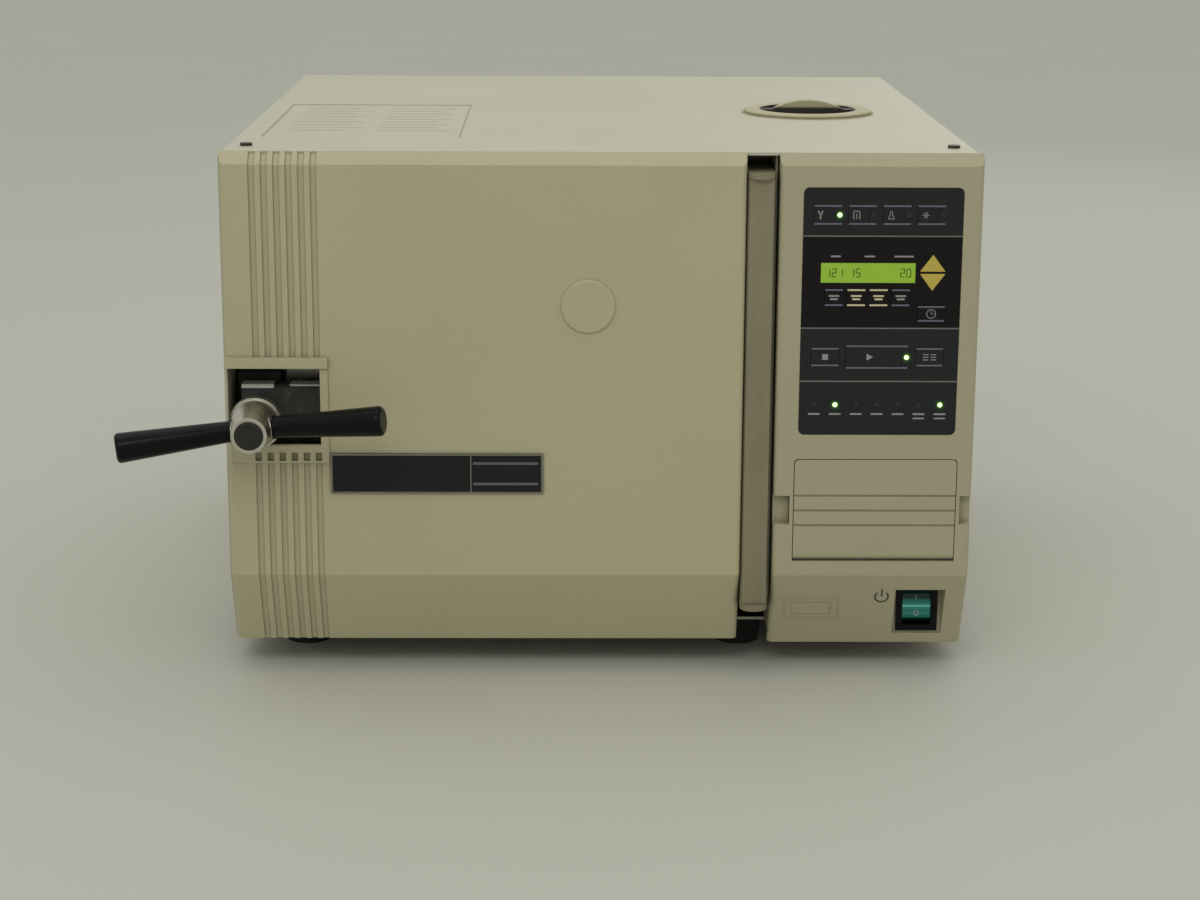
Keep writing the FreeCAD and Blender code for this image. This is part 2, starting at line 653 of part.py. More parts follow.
def screw(base, axis, side):
    """One pan-head screw whose head stands out from its base point."""
    head = doc.addObject("Part::Cylinder", "screw_head")
    shank = doc.addObject("Part::Cylinder", "screw_shank")
    head.setExpression("Radius", d.screw_head_r.text)
    head.setExpression("Height", d.screw_head_t.text)
    shank.setExpression("Radius", d.shank_r.text)
    shank.setExpression("Height", d.shank_l.text)
    turned = {"Z": ALONG["Z"], "X": Rotation(Vector(0, 1, 0), 90 * side)}[axis]
    inward = list(base)
    column = "XYZ".index(axis)
    inward[column] = base[column] - side * d.shank_l
    place(head, "Placement", base, turned)
    place(shank, "Placement", inward, turned)
    fused = doc.addObject("Part::Fuse", "screw")
    fused.Base = head
    fused.Tool = shank
    return fused


def casing_screws():
    """The pan-head screws that hold the wrap on."""
    group = [screw((x, y, top_z), "Z", 1) for x, y in top_screw_places()]
    for side in (-1, 1):
        for y in side_screw_stations():
            group.append(screw((side * half_w, y, d.side_screw_z), "X", side))
    return compound("casing_screws", group)


# ---------------------------------------------------------------- pressure vessel


def chamber():
    """Pressure vessel: drawn shell with a front flange and a flat, round-cornered back."""
    piece = Piece("chamber")
    end = d.vessel_back + d.back_wall
    outer_round = d.back_round + d.vessel_wall
    wall = [
        (d.bore_r, d.mouth_y), (d.flange_r, d.mouth_y), (d.flange_r, d.mouth_y + d.flange_t),
        (shell_r, d.mouth_y + d.flange_t), (shell_r, end - outer_round), Arc(outer_round),
        (shell_r - outer_round, end), (0, end), (0, d.vessel_back),
        (d.bore_r - d.back_round, d.vessel_back), Arc(d.back_round, left_turn=False),
        (d.bore_r, d.vessel_back - d.back_round),
    ]
    piece.turn("Y", (d.vessel_x, 0, d.vessel_z), wall)
    holes = [Circle(d.vessel_x, d.vessel_z - d.drain_drop, d.drain_r),
             Circle(d.valve_x, d.valve_z, d.valve_spigot + d.side_play)]
    for side in (-1, 1):
        holes.append(Circle(d.vessel_x + side * d.element_half, d.vessel_z - d.element_drop,
                            d.element_hole))
    piece.prism("XZ", holes, d.vessel_back - d.overcut, end + d.overcut, cut=True)
    return piece.body


def insulation_jacket():
    """Felt sleeve round the vessel."""
    piece = Piece("insulation_jacket")
    sleeve = [
        (jacket_in, d.jacket_front), (jacket_out, d.jacket_front),
        (jacket_out, d.jacket_back), (jacket_in, d.jacket_back),
    ]
    piece.turn("Y", (d.vessel_x, 0, d.vessel_z), sleeve)
    return piece.body


def heating_element():
    """Tubular loop that lies low in the chamber and leaves through its back."""
    piece = Piece("heating_element")
    left = d.vessel_x - d.element_half
    right = d.vessel_x + d.element_half
    height = d.vessel_z - d.element_drop
    bend = d.element_half
    path = [
        (left, d.element_end), (left, d.element_front + bend), Arc(bend),
        (d.vessel_x, d.element_front), Arc(bend), (right, d.element_front + bend),
        (right, d.element_end),
    ]
    piece.pipe("XY", (0, 0, height), path, "XZ", (left, height, -d.element_end), [d.element_r])
    return piece.body


def tray_rack():
    """Two pressed side plates with ledges for the trays, held apart by four rods."""
    piece = Piece("tray_rack")
    low = d.vessel_z - d.rack_low
    high = d.vessel_z + d.rack_high
    left = d.vessel_x - d.rack_half
    right = d.vessel_x + d.rack_half
    inset = d.rack_rod_inset
    for y in (d.rack_front + inset, d.rack_back - inset):
        for z in (low + inset, high - inset):
            piece.cylinder("X", (left, y, z), d.rack_rod_r, right - left)
    for side, plate in ((-1, (left, left + d.rack_sheet)), (1, (right - d.rack_sheet, right))):
        piece.box(plate, (d.rack_front, d.rack_back), (low, high))
        for level in range(3):
            z = low + d.ledge_first + d.ledge_pitch * level
            edge = left if side < 0 else right - d.ledge_w
            piece.box((edge, edge + d.ledge_w), (d.rack_front, d.rack_back),
                      (z - d.rack_sheet, z))
    windows = []
    for level in range(2):
        front = d.rack_front + d.rack_window
        z = low + d.ledge_first + d.ledge_pitch * level + d.tray_h + d.tray_sheet
        windows.append(rectangle(front, front + d.rack_window * 2, z,
                                 z + d.rack_window - d.tray_h / 2))
    column = piece.prism("YZ", windows, left - d.overcut, right + d.overcut, cut=True)
    piece.repeat(column, "Y", 4, d.rack_window * 9)
    return piece.body


def tray(name, level):
    """A perforated instrument tray on one pair of ledges."""
    piece = Piece(name)
    half = d.rack_half - d.rack_sheet - d.tray_play
    z = d.vessel_z - d.rack_low + d.ledge_first + d.ledge_pitch * level
    piece.box((d.vessel_x - half, d.vessel_x + half), (d.tray_front, d.tray_back),
              (z, z + d.tray_h))
    wall = d.tray_sheet
    piece.box((d.vessel_x - half + wall, d.vessel_x + half - wall),
              (d.tray_front + wall, d.tray_back - wall), (z + wall, z + d.tray_h + d.overcut),
              cut=True)
    slots = slot_row(d.tray_front + d.slot_pitch_y / 2, rounded, d.slot_d / 3)
    row = piece.prism("XY", slots, z - d.overcut, z + wall + d.overcut, cut=True)
    piece.repeat(row, "Y", 7, d.slot_pitch_y * 6)
    return piece.body


# ---------------------------------------------------------------- water


def reservoir_tank():
    """Moulded water tank beside the vessel, with a round hole for the filler."""
    piece = Piece("reservoir_tank")
    wall = d.tank_wall
    piece.box((d.tank_left, d.tank_right), (d.tank_front, d.tank_back),
              (d.tank_floor, d.tank_top))
    piece.soften(d.tank_round, lambda e: runs_along(e, "z"))
    piece.box((d.tank_left + wall, d.tank_right - wall), (d.tank_front + wall, d.tank_back - wall),
              (d.tank_floor + wall, d.tank_top - wall), cut=True)
    piece.cylinder("Z", (d.filler_x, d.filler_y, d.tank_top - wall - d.overcut),
                   d.neck_r + d.neck_play, wall + d.overcut * 2, cut=True)
    piece.cylinder("Y", (d.fill_x, d.tank_back - wall - d.overcut, d.fill_z), d.pipe_bore,
                   wall + d.overcut * 2, cut=True)
    return piece.body


def filler_collar():
    """Flanged neck from the casing's top down into the tank."""
    piece = Piece("filler_collar")
    inner = d.neck_r - d.neck_wall
    section = [
        (inner, d.tank_top - d.tank_wall), (d.neck_r, d.tank_top - d.tank_wall),
        (d.neck_r, top_z), (d.collar_r, top_z), (d.collar_r, top_z + d.collar_t),
        (inner, top_z + d.collar_t),
    ]
    piece.turn("Z", (d.filler_x, d.filler_y, 0), section)
    return piece.body


def reservoir_cap():
    """Round cap with a dished top and a finger bar across it."""
    piece = Piece("reservoir_cap")
    bar = d.cap_grip
    section = [
        (0, d.cap_skirt_z), (d.cap_skirt_r, d.cap_skirt_z), (d.cap_skirt_r, d.cap_base),
        (d.cap_r, d.cap_base), (d.cap_r, d.cap_rim - d.cap_edge),
        (d.cap_r - d.cap_edge, d.cap_rim), (0, d.cap_rim),
    ]
    piece.turn("Z", (d.filler_x, d.filler_y, 0), section)
    half, rise = d.cap_grip_half, d.cap_grip_h
    bow = (half * half + rise * rise) / (rise * 2)
    hump = [
        (d.filler_x - half, d.cap_rim - d.cap_edge), (d.filler_x + half, d.cap_rim - d.cap_edge),
        (d.filler_x + half, d.cap_rim), Arc(bow), (d.filler_x - half, d.cap_rim),
    ]
    piece.prism("XZ", [hump], d.filler_y - bar, d.filler_y + bar)
    reach = d.cap_dish_r * math.cos(math.asin(d.cap_grip.value / d.cap_dish_r.value))
    for side in (-1, 1):
        y = d.filler_y + side * bar
        ends = [(d.filler_x - side * reach, y), (d.filler_x + side * reach, y)]
        half_moon = [ends[0], ends[1], Arc(d.cap_dish_r), (d.filler_x, d.filler_y
                     + side * d.cap_dish_r), Arc(d.cap_dish_r)]
        piece.prism("XY", [half_moon], d.cap_floor, d.cap_rim + d.overcut, cut=True)
    piece.box((d.filler_x - d.cap_skirt_r + d.cap_wall * 3, d.filler_x + d.cap_skirt_r
               - d.cap_wall * 3), (d.filler_y - bar + d.cap_wall, d.filler_y + bar - d.cap_wall),
              (d.cap_skirt_z - d.overcut, d.cap_floor), cut=True)
    return piece.body


# ---------------------------------------------------------------- plumbing


def safety_valve():
    """Brass relief valve screwed into the vessel's back, with a bore for its pull stem."""
    piece = Piece("safety_valve")
    section = [
        (0, d.vessel_back + d.back_wall / 3), (d.valve_spigot, d.vessel_back + d.back_wall / 3),
        (d.valve_spigot, d.valve_seat), (d.valve_hex, d.valve_seat),
        (d.valve_hex, d.stem_start - d.back_wall), (d.valve_r, d.stem_start - d.back_wall),
        (d.valve_r, d.valve_end), (d.valve_bore, d.valve_end), (d.valve_bore, d.stem_start
        - d.overcut), (0, d.stem_start - d.overcut),
    ]
    piece.turn("Y", (d.valve_x, 0, d.valve_z), section)
    return piece.body


def valve_ring():
    """Pull stem of the relief valve, ending in a wire ring."""
    piece = Piece("valve_ring")
    piece.cylinder("Y", (d.valve_x, d.stem_start, d.valve_z), d.stem_r,
                   d.ring_y - d.ring_r - d.stem_start)
    ring = piece.feature("AdditiveTorus", Radius1=d.ring_r, Radius2=d.ring_wire)
    place(ring, "Placement", (d.valve_x, d.ring_y, d.valve_z), ALONG["X"])
    return piece.body


def solenoid_valves():
    """Manifold on a bracket, with two solenoid coils on top."""
    piece = Piece("solenoid_valves")
    top = d.manifold_z + d.manifold_h
    floor = d.clearance_under + d.sheet_metal
    x = (d.manifold_left, d.manifold_right)
    piece.box(x, (d.manifold_front, d.manifold_back), (d.manifold_z, top))
    for left in (d.manifold_left, d.manifold_right - d.bracket_t):
        piece.box((left, left + d.bracket_t), (d.manifold_front, d.manifold_back - d.bracket_t),
                  (floor, d.manifold_z))
    for centre in (d.manifold_left + d.coil_inset, d.manifold_right - d.coil_inset):
        y = (d.manifold_front + d.manifold_back) / 2
        piece.cylinder("Z", (centre, y, top), d.coil_r, d.coil_h)
        piece.cylinder("Z", (centre, y, top + d.coil_h), d.coil_r / 2, d.bracket_t)
    return piece.body


def pipework():
    """The drain pipe from the vessel's back and the feed pipe to the tank."""
    drain = Piece("drain_pipe")
    end = d.vessel_back + d.back_wall
    height = d.vessel_z - d.drain_drop
    bend = d.pipe_bend
    drain_path = [
        (d.vessel_x, end), (d.vessel_x, d.drain_turn_y - bend), Arc(bend, left_turn=False),
        (d.vessel_x + bend, d.drain_turn_y), (d.manifold_left, d.drain_turn_y),
    ]
    drain.pipe("XY", (0, 0, height), drain_path, "XZ", (d.vessel_x, height, -end),
               [d.pipe_r, d.pipe_bore])
    feed = Piece("feed_pipe")
    feed_path = [
        (d.manifold_front, height), (d.fill_turn_y + bend, height), Arc(bend, left_turn=False),
        (d.fill_turn_y, height + bend), (d.fill_turn_y, d.fill_z - bend), Arc(bend),
        (d.fill_turn_y - bend, d.fill_z), (d.tank_back, d.fill_z),
    ]
    feed.pipe("YZ", (0, 0, d.fill_x), feed_path, "XZ", (d.fill_x, height, -d.manifold_front),
              [d.pipe_r, d.pipe_bore])
    return compound("pipework", [drain.body, feed.body])


# ---------------------------------------------------------------- electrics


def power_board():
    """Mains board on standoffs with its transformer, relays and capacitor."""
    piece = Piece("power_board")
    floor = d.clearance_under + d.sheet_metal
    deck = d.power_z + d.board_t
    piece.box((d.power_left, d.power_right), (d.power_front, d.power_back), (d.power_z, deck))
    inset = d.standoff_inset
    for x in (d.power_left + inset, d.power_right - inset):
        for y in (d.power_front + inset, d.power_back - inset):
            piece.cylinder("Z", (x, y, floor), d.standoff_r, d.power_z - floor)
    piece.box((d.core_left, d.core_right), (d.core_front, d.core_back), (deck, deck + d.core_h))
    over = d.coil_over
    piece.box((d.core_left + over, d.core_right - over), (d.core_front - over, d.core_back + over),
              (deck + over, deck + d.core_h - over))
    for row in range(4):
        y = d.relay_y + d.relay_pitch * row
        piece.box((d.relay_x, d.relay_x + d.relay_w), (y, y + d.relay_d), (deck, deck + d.relay_h))
    for row in range(3):
        y = d.relay_y + d.relay_pitch * row + d.capacitor_r
        piece.cylinder("Z", (d.capacitor_x, y, deck), d.capacitor_r, d.capacitor_h)
    return piece.body


def power_inlet():
    """Mains appliance inlet in the rear panel, with its three blades."""
    piece = Piece("power_inlet")
    x, z = d.inlet_x, d.inlet_z
    back = d.rear_y + d.sheet_metal
    piece.box((x - d.inlet_w / 2, x + d.inlet_w / 2), (d.inlet_front, back),
              (z - d.inlet_h / 2, z + d.inlet_h / 2))
    flange = rounded(x - d.inlet_flange_w / 2, x + d.inlet_flange_w / 2,
                     z - d.inlet_flange_h / 2, z + d.inlet_flange_h / 2, d.inlet_lip)
    piece.prism("XZ", [flange], back, d.inlet_face)
    socket = rectangle(x - d.socket_w / 2, x + d.socket_w / 2, z - d.socket_h / 2,
                       z + d.socket_h / 2)
    piece.prism("XZ", [socket], d.inlet_face - d.socket_depth, d.inlet_face + d.overcut, cut=True)
    for column in range(3):
        centre = x + (column - 1) * d.blade_pitch
        piece.box((centre - d.blade_w / 2, centre + d.blade_w / 2),
                  (d.inlet_face - d.socket_depth - d.overcut,
                   d.inlet_face - d.socket_depth + d.blade_l),
                  (z - d.blade_h / 2, z + d.blade_h / 2))
    return piece.body


# ---------------------------------------------------------------- control panel


def row_of_keys(stem, count, left, pitch, width, low, high):
    """Names and outlines of a row of equal keys."""
    row = {}
    for number in range(count):
        start = left + pitch * number
        row[f"{stem}_{number + 1}"] = (start, start + width, low, high)
    return row


def square_keys():
    """Every four-cornered key of the panel as name and (left, right, low, high)."""
    keys = row_of_keys("key_program", 4, d.top_key_left, d.top_key_pitch, d.top_key_w,
                       d.top_key_low, d.top_key_high)
    keys.update(row_of_keys("key_set", 4, d.small_key_left, d.small_key_pitch, d.small_key_w,
                            d.small_key_low, d.small_key_high))
    keys["key_clock"] = (d.clock_left, d.clock_right, d.clock_low, d.clock_high)
    keys["key_stop"] = (d.stop_left, d.stop_right, d.run_key_low, d.run_key_high)
    keys["key_start"] = (d.start_left, d.start_right, d.run_key_low, d.run_key_high)
    keys["key_dry"] = (d.dry_left, d.dry_right, d.run_key_low, d.run_key_high)
    return keys


def arrow(direction, grow=0):
    """The triangle of an arrow key, grown by a margin."""
    middle = (d.arrow_left + d.arrow_right) / 2
    left, right = d.arrow_left - grow, d.arrow_right + grow
    if direction == "up":
        low, tip = d.arrow_up_low - grow / 2, d.arrow_up_high + grow
        return [(left, low), (right, low), (middle, tip)]
    high, tip = d.arrow_down_high + grow / 2, d.arrow_down_low - grow
    return [(left, high), (middle, tip), (right, high)]


def led_places():
    """Centres of the indicator lamps: program row, start lamp and status row."""
    places = [(d.led_top_x + d.top_key_pitch * n, d.led_top_z) for n in range(4)]
    places.append((d.led_start_x, d.led_start_z))
    places += [(d.led_row_x + d.led_row_pitch * n, d.led_row_z) for n in range(7)]
    return places


def panel_cutouts():
    """Outlines of every key, lamp and window opening of the panel."""
    play = d.key_play
    cuts = [rounded(x0 - play, x1 + play, z0 - play, z1 + play, d.key_round + play)
            for x0, x1, z0, z1 in square_keys().values()]
    cuts += [arrow("up", d.arrow_play), arrow("down", d.arrow_play)]
    cuts += [Circle(x, z, d.led_r + d.led_play) for x, z in led_places()]
    cuts.append(rectangle(d.glass_left, d.glass_right, d.glass_low, d.glass_high))
    return cuts


def neck_section(front, back, inset):
    """The side view of the housing's neck, its front running down behind the sloping foot."""
    low, high = d.neck_low + inset, d.neck_high - inset
    return [
        (front, high), (front, d.crease_z), (slope_y(low) + front, low), (back, low),
        (back, high),
    ]


def panel_housing():
    """Moulded housing of the controls: front shell, hollow neck, bay, recess and bosses."""
    piece = Piece("panel_housing")
    bottom = panel_bottom
    left, right = d.panel_left, panel_right
    wall = d.shell_wall
    piece.prism("YZ", [shell_section(bottom)], left, right)
    piece.soften(d.side_round, lambda e: front_corner(e, (left, right), bottom))
    piece.prism("YZ", [shell_hollow(bottom)], left + wall, right - wall, cut=True)
    side = d.neck_side
    piece.prism("YZ", [neck_section(d.shell_d - d.overcut, d.neck_back, 0)],
                left + d.side_play, d.neck_right)
    room = neck_section(wall, d.neck_back + d.overcut, side)
    ceiling = d.neck_high - side
    room[:1] = [(wall + ceiling - bevel_z(wall, wall), ceiling), (wall, bevel_z(wall, wall))]
    piece.prism("YZ", [room], left + wall, d.neck_right - side, cut=True)
    sill = d.recess_low - d.recess_wall
    cup = [
        (slope_y(d.recess_high) + d.overcut, d.recess_high), (slope_y(sill) + d.overcut, sill),
        (d.recess_y + d.recess_wall, sill), (d.recess_y + d.recess_wall, d.recess_high),
    ]
    piece.prism("YZ", [cup], d.recess_left - d.recess_wall, d.recess_right + d.recess_wall)
    piece.box((d.recess_left, d.recess_right), (-d.overcut, d.recess_y),
              (d.recess_low, d.recess_high - d.recess_wall), cut=True)
    piece.box((d.bezel_left + d.bezel_body - d.side_play, d.bezel_right - d.bezel_body
               + d.side_play), (d.recess_y - d.overcut, d.recess_y + d.recess_wall + d.overcut),
              (d.bezel_low + d.bezel_body - d.side_play, d.bezel_high - d.bezel_body
               + d.side_play), cut=True)
    for x in (d.board_left + d.boss_inset, d.board_right - d.boss_inset):
        for z in (d.board_low + d.boss_inset, d.board_high - d.boss_inset):
            piece.cylinder("Y", (x, wall - d.overcut, z), d.boss_r, d.board_y - wall + d.overcut)
    play = d.overlay_play
    seat = rounded(d.overlay_left - play, d.overlay_right + play, d.overlay_low - play,
                   d.overlay_high + play, d.overlay_round)
    piece.prism("XZ", [seat], -d.overcut, d.overlay_front + d.overlay_t, cut=True)
    for cutout in panel_cutouts():
        piece.prism("XZ", [cutout], 0, wall + d.overcut, cut=True)
    opening = rounded(d.bay_left, d.bay_right, d.bay_low, d.bay_high, d.flap_round)
    piece.prism("XZ", [opening], -d.overcut, wall + d.overcut, cut=True)
    piece.box((d.bay_left, d.bay_right), (-d.overcut, wall + d.overcut),
              (d.bay_low, d.bay_low + d.flap_round), cut=True)
    through = side + d.overcut * 2
    piece.cylinder("Z", (d.top_screw_x, d.top_screw_front, d.neck_high - side - d.overcut),
                   d.shank_hole, through, cut=True)
    piece.cylinder("X", (d.neck_right - side - d.overcut, d.side_screw_front, d.side_screw_z),
                   d.shank_hole, through, cut=True)
    frame = d.bay_wall + d.side_play
    for x in ((left + d.side_play, d.bay_left - frame), (d.bay_right + frame, d.neck_right)):
        piece.box(x, (wall - d.overcut, d.notch_depth + wall),
                  (d.notch_low - wall, d.notch_high + wall))
    for x in ((left - d.overcut, d.bay_left - frame), (d.bay_right + frame, right + d.overcut)):
        piece.box(x, (-d.overcut, d.notch_depth), (d.notch_low, d.notch_high), cut=True)
    return piece.body


def membrane_overlay():
    """Thin plate over the keys, lamps and display."""
    piece = Piece("membrane_overlay")
    plate = rounded(d.overlay_left, d.overlay_right, d.overlay_low, d.overlay_high,
                    d.overlay_round)
    piece.prism("XZ", [plate], d.overlay_front, d.overlay_front + d.overlay_t)
    for cutout in panel_cutouts():
        piece.prism("XZ", [cutout], 0, d.shell_wall, cut=True)
    return piece.body


def key(name, outline, flange, centre):
    """One key: cap through the overlay, flange behind the wall and switch stem."""
    piece = Piece(name)
    back = d.key_seat + d.key_flange_t
    piece.prism("XZ", [outline], d.key_front, d.key_seat)
    piece.prism("XZ", [flange], d.key_seat, back)
    piece.cylinder("Y", (centre[0], back, centre[1]), d.key_stem_r, d.key_stem_end - back)
    return piece.body


def panel_keys():
    """The fourteen keys, each its own sub-part."""
    made = []
    grow = d.key_flange
    for name, (x0, x1, z0, z1) in square_keys().items():
        cap = rounded(x0, x1, z0, z1, d.key_round)
        flange = rectangle(x0 - grow, x1 + grow, z0 - grow, z1 + grow)
        made.append(key(name, cap, flange, ((x0 + x1) / 2, (z0 + z1) / 2)))
    middle = (d.arrow_left + d.arrow_right) / 2
    heights = {"up": d.arrow_up_low * 0.6 + d.arrow_up_high * 0.4,
               "down": d.arrow_down_high * 0.6 + d.arrow_down_low * 0.4}
    for direction, z in heights.items():
        flange = arrow(direction, d.arrow_play + d.key_play)
        made.append(key(f"key_{direction}", arrow(direction), flange, (middle, z)))
    return made


def display_module():
    """Liquid crystal display: glass in the window and its carrier behind."""
    piece = Piece("display_module")
    side, edge = d.module_margin, d.module_margin_z
    piece.box((d.glass_left + d.led_play, d.glass_right - d.led_play),
              (d.glass_front, d.key_seat + d.led_play),
              (d.glass_low + d.led_play, d.glass_high - d.led_play))
    piece.box((d.glass_left - side, d.glass_right + side), (d.key_seat + d.led_play,
              d.module_back), (d.glass_low - edge, d.glass_high + edge))
    return piece.body


def indicator_leds():
    """The round indicator lamps."""
    group = []
    for x, z in led_places():
        lamp = doc.addObject("Part::Cylinder", "lamp")
        lamp.setExpression("Radius", d.led_r.text)
        lamp.setExpression("Height", (d.led_back - d.led_front).text)
        place(lamp, "Placement", (x, d.led_front, z), ALONG["Y"])
        group.append(lamp)
    return compound("indicator_leds", group)


def control_board():
    """Circuit board behind the panel with its chips."""
    piece = Piece("control_board")
    back = d.board_y + d.board_t
    piece.box((d.board_left, d.board_right), (d.board_y, back), (d.board_low, d.board_high))
    for row in range(3):
        for column in range(2):
            x = d.board_left + d.chip_w * (1 + 3 * column)
            z = d.chip_z + d.chip_pitch * row
            piece.box((x, x + d.chip_w * 2), (back, back + d.chip_t), (z, z + d.chip_h))
    return piece.body


def printer_bay():
    """Box behind the flap, with the two pegs that the flap turns on."""
    piece = Piece("printer_bay")
    wall = d.bay_wall
    front = d.shell_wall + d.led_play
    piece.box((d.bay_left - wall, d.bay_right + wall), (front, d.bay_back),
              (d.bay_low - wall, d.bay_high + wall))
    piece.box((d.bay_left, d.bay_right), (0, d.bay_back - wall), (d.bay_low, d.bay_high), cut=True)
    y, z = d.bead_r, d.flap_low + d.bead_r
    for start in (d.bay_left - wall / 2, d.bay_right + wall / 2 - d.peg_l):
        piece.cylinder("X", (start, y, z), d.peg_r, d.peg_l)
    return piece.body


def bay_flap():
    """Drop-down flap with a round bottom bead that it turns on and three moulded lines."""
    piece = Piece("bay_flap")
    axis_y, axis_z = d.bead_r, d.flap_low + d.bead_r
    face = rounded(d.flap_left, d.flap_right, axis_z - d.flap_round, d.flap_high, d.flap_round)
    piece.prism("XZ", [face], 0, d.flap_t)
    piece.box((d.flap_left, d.flap_right), (0, d.flap_t), (axis_z - d.flap_round, axis_z
              + d.flap_round), cut=True)
    piece.box((d.flap_left, d.flap_right), (0, d.flap_t), (axis_z, axis_z + d.flap_round
              + d.overcut))
    piece.cylinder("X", (d.flap_left, axis_y, axis_z), d.bead_r, d.flap_right - d.flap_left)
    for start in (d.flap_left - d.overcut, d.flap_right + d.overcut - d.peg_l):
        piece.cylinder("X", (start, axis_y, axis_z), d.peg_hole_r, d.peg_l, cut=True)
    for line in range(3):
        z = d.line_low + d.line_pitch * line - d.line_w / 2
        piece.box((d.flap_left - d.overcut, d.flap_right + d.overcut), (-d.overcut, d.line_depth),
                  (z, z + d.line_w), cut=True)
    return piece.body


def switch_bezel():
    """Snap-in frame of the mains switch."""
    piece = Piece("switch_bezel")
    body = d.bezel_body
    piece.box((d.bezel_left, d.bezel_right), (d.bezel_front, d.recess_y),
              (d.bezel_low, d.bezel_high))
    piece.box((d.bezel_left + body, d.bezel_right - body), (d.recess_y, d.bezel_back),
              (d.bezel_low + body, d.bezel_high - body))
    half_rocker = d.rocker_w / 2 + d.rocker_play
    reach = d.rocker_r + d.rocker_play
    x, z = rocker_centre()
    piece.box((x - half_rocker, x + half_rocker), (d.bezel_front - d.overcut,
              d.bezel_back - body / 2), (z - reach, z + reach), cut=True)
    hole = d.trunnion_l + d.rocker_play
    piece.cylinder("X", (x - half_rocker - hole, d.rocker_y, z), d.trunnion_r + d.pin_play,
                   half_rocker * 2 + hole * 2, cut=True)
    return piece.body


def rocker_centre():
    """The mains rocker's middle, as X and Z."""
    return (d.bezel_left + d.bezel_right) / 2, (d.bezel_low + d.bezel_high) / 2


def switch_rocker():
    """Mains rocker: a drum with a dished front, turning on two trunnions."""
    piece = Piece("switch_rocker")
    x, z = rocker_centre()
    left = x - d.rocker_w / 2
    reach = d.rocker_r + d.overcut
    piece.cylinder("X", (left, d.rocker_y, z), d.rocker_r, d.rocker_w)
    face_y = d.rocker_y - d.rocker_face
    front = [
        (d.rocker_y - reach, z + reach), (d.rocker_y - reach, z - reach),
        (face_y - d.rocker_flare, z - reach), (face_y, z + d.rocker_mid), (face_y, z + reach),
    ]
    piece.prism("YZ", [front], left - d.overcut, left + d.rocker_w + d.overcut, cut=True)
    piece.cylinder("X", (left - d.trunnion_l, d.rocker_y, z), d.trunnion_r,
                   d.rocker_w + d.trunnion_l * 2)
    return piece.body


# ---------------------------------------------------------------- door


def groove_section(upper):
    """Side view of a groove that follows the door's face, above or below the window."""
    deep = d.groove_depth
    out = d.overcut * 3
    if upper:
        return [
            (deep, d.ledge_high), (deep, bevel_z(deep, deep)),
            (d.shell_d + out, bevel_z(d.shell_d + out, deep)), (d.shell_d + out, top_z + out),
            (-out, top_z + out), (-out, d.ledge_high),
        ]
    under = d.clearance_under - d.overcut
    return [
        (deep, d.band_low), (-out, d.band_low), (-out, d.crease_z),
        (slope_y(under) - out, under), (slope_y(under) + deep, under), (deep, d.crease_z),
    ]


def door_cover():
    """Moulded door skin: bevelled top, sloping foot, window for the handle and grooves."""
    piece = Piece("door_cover")
    bottom = d.clearance_under
    left, right = d.door_left, d.door_right
    wall = d.shell_wall
    piece.prism("YZ", [shell_section(bottom)], left, right)
    piece.soften(d.side_round, lambda e: front_corner(e, (left, right), bottom))
    piece.prism("YZ", [shell_hollow(bottom)], left + wall, right - wall, cut=True)
    for x in (d.cover_boss_left, d.cover_boss_right):
        piece.cylinder("Y", (x, wall - d.overcut, d.screw_z), d.cover_boss_r,
                       d.bridge_front - wall + d.overcut)
    for upper in (True, False):
        groove = piece.prism("YZ", [groove_section(upper)], d.groove_left,
                             d.groove_left + d.groove_w, cut=True)
        piece.repeat(groove, "X", 6, d.groove_pitch * 5)
    frame_left = left + d.side_round
    piece.box((left, d.frame_right), (-d.ledge_proud, wall), (d.window_high, d.ledge_high))
    piece.box((frame_left, d.frame_right), (-d.band_proud, wall), (d.band_low, d.window_low))
    piece.box((d.window_right, d.frame_right), (-d.band_proud, wall),
              (d.window_low - d.overcut, d.window_high + d.overcut))
    piece.box((left - d.overcut, d.window_right), (-d.shell_d, d.shell_d + d.overcut),
              (d.window_low, d.window_high), cut=True)
    slots = []
    for number in range(6):
        start = d.groove_left + d.groove_pitch * number
        slots.append(rectangle(start, start + d.groove_w, d.band_slot_low, d.band_slot_high))
    piece.prism("XZ", slots, -d.shell_d, d.band_slot_depth, cut=True)
    piece.cylinder("Y", (d.plug_x, -d.overcut, d.plug_z), d.plug_peg_r + d.pin_play,
                   wall + d.overcut * 2, cut=True)
    return piece.body


def door_bridge():
    """Heavy bar that carries the lid, from the hinge post to the closing screw."""
    piece = Piece("door_bridge")
    piece.box((d.bridge_left, d.post_web_left), (d.bridge_front, bridge_back),
              (d.screw_z - d.bridge_half, d.screw_z + d.bridge_half))
    piece.soften(d.bridge_edge, lambda e: runs_along(e, "x"), "Chamfer")
    piece.cylinder("Y", (d.vessel_x, d.bridge_front, d.vessel_z), d.bridge_boss_r, d.bridge_t)
    piece.cylinder("Y", (d.screw_x, d.bridge_front - d.overcut, d.screw_z), d.bridge_bore,
                   d.bridge_t + d.overcut * 2, cut=True)
    piece.cylinder("Y", (d.vessel_x, d.bridge_front - d.overcut, d.vessel_z),
                   d.stud_r + d.stud_play, d.bridge_t + d.overcut * 2, cut=True)
    return piece.body


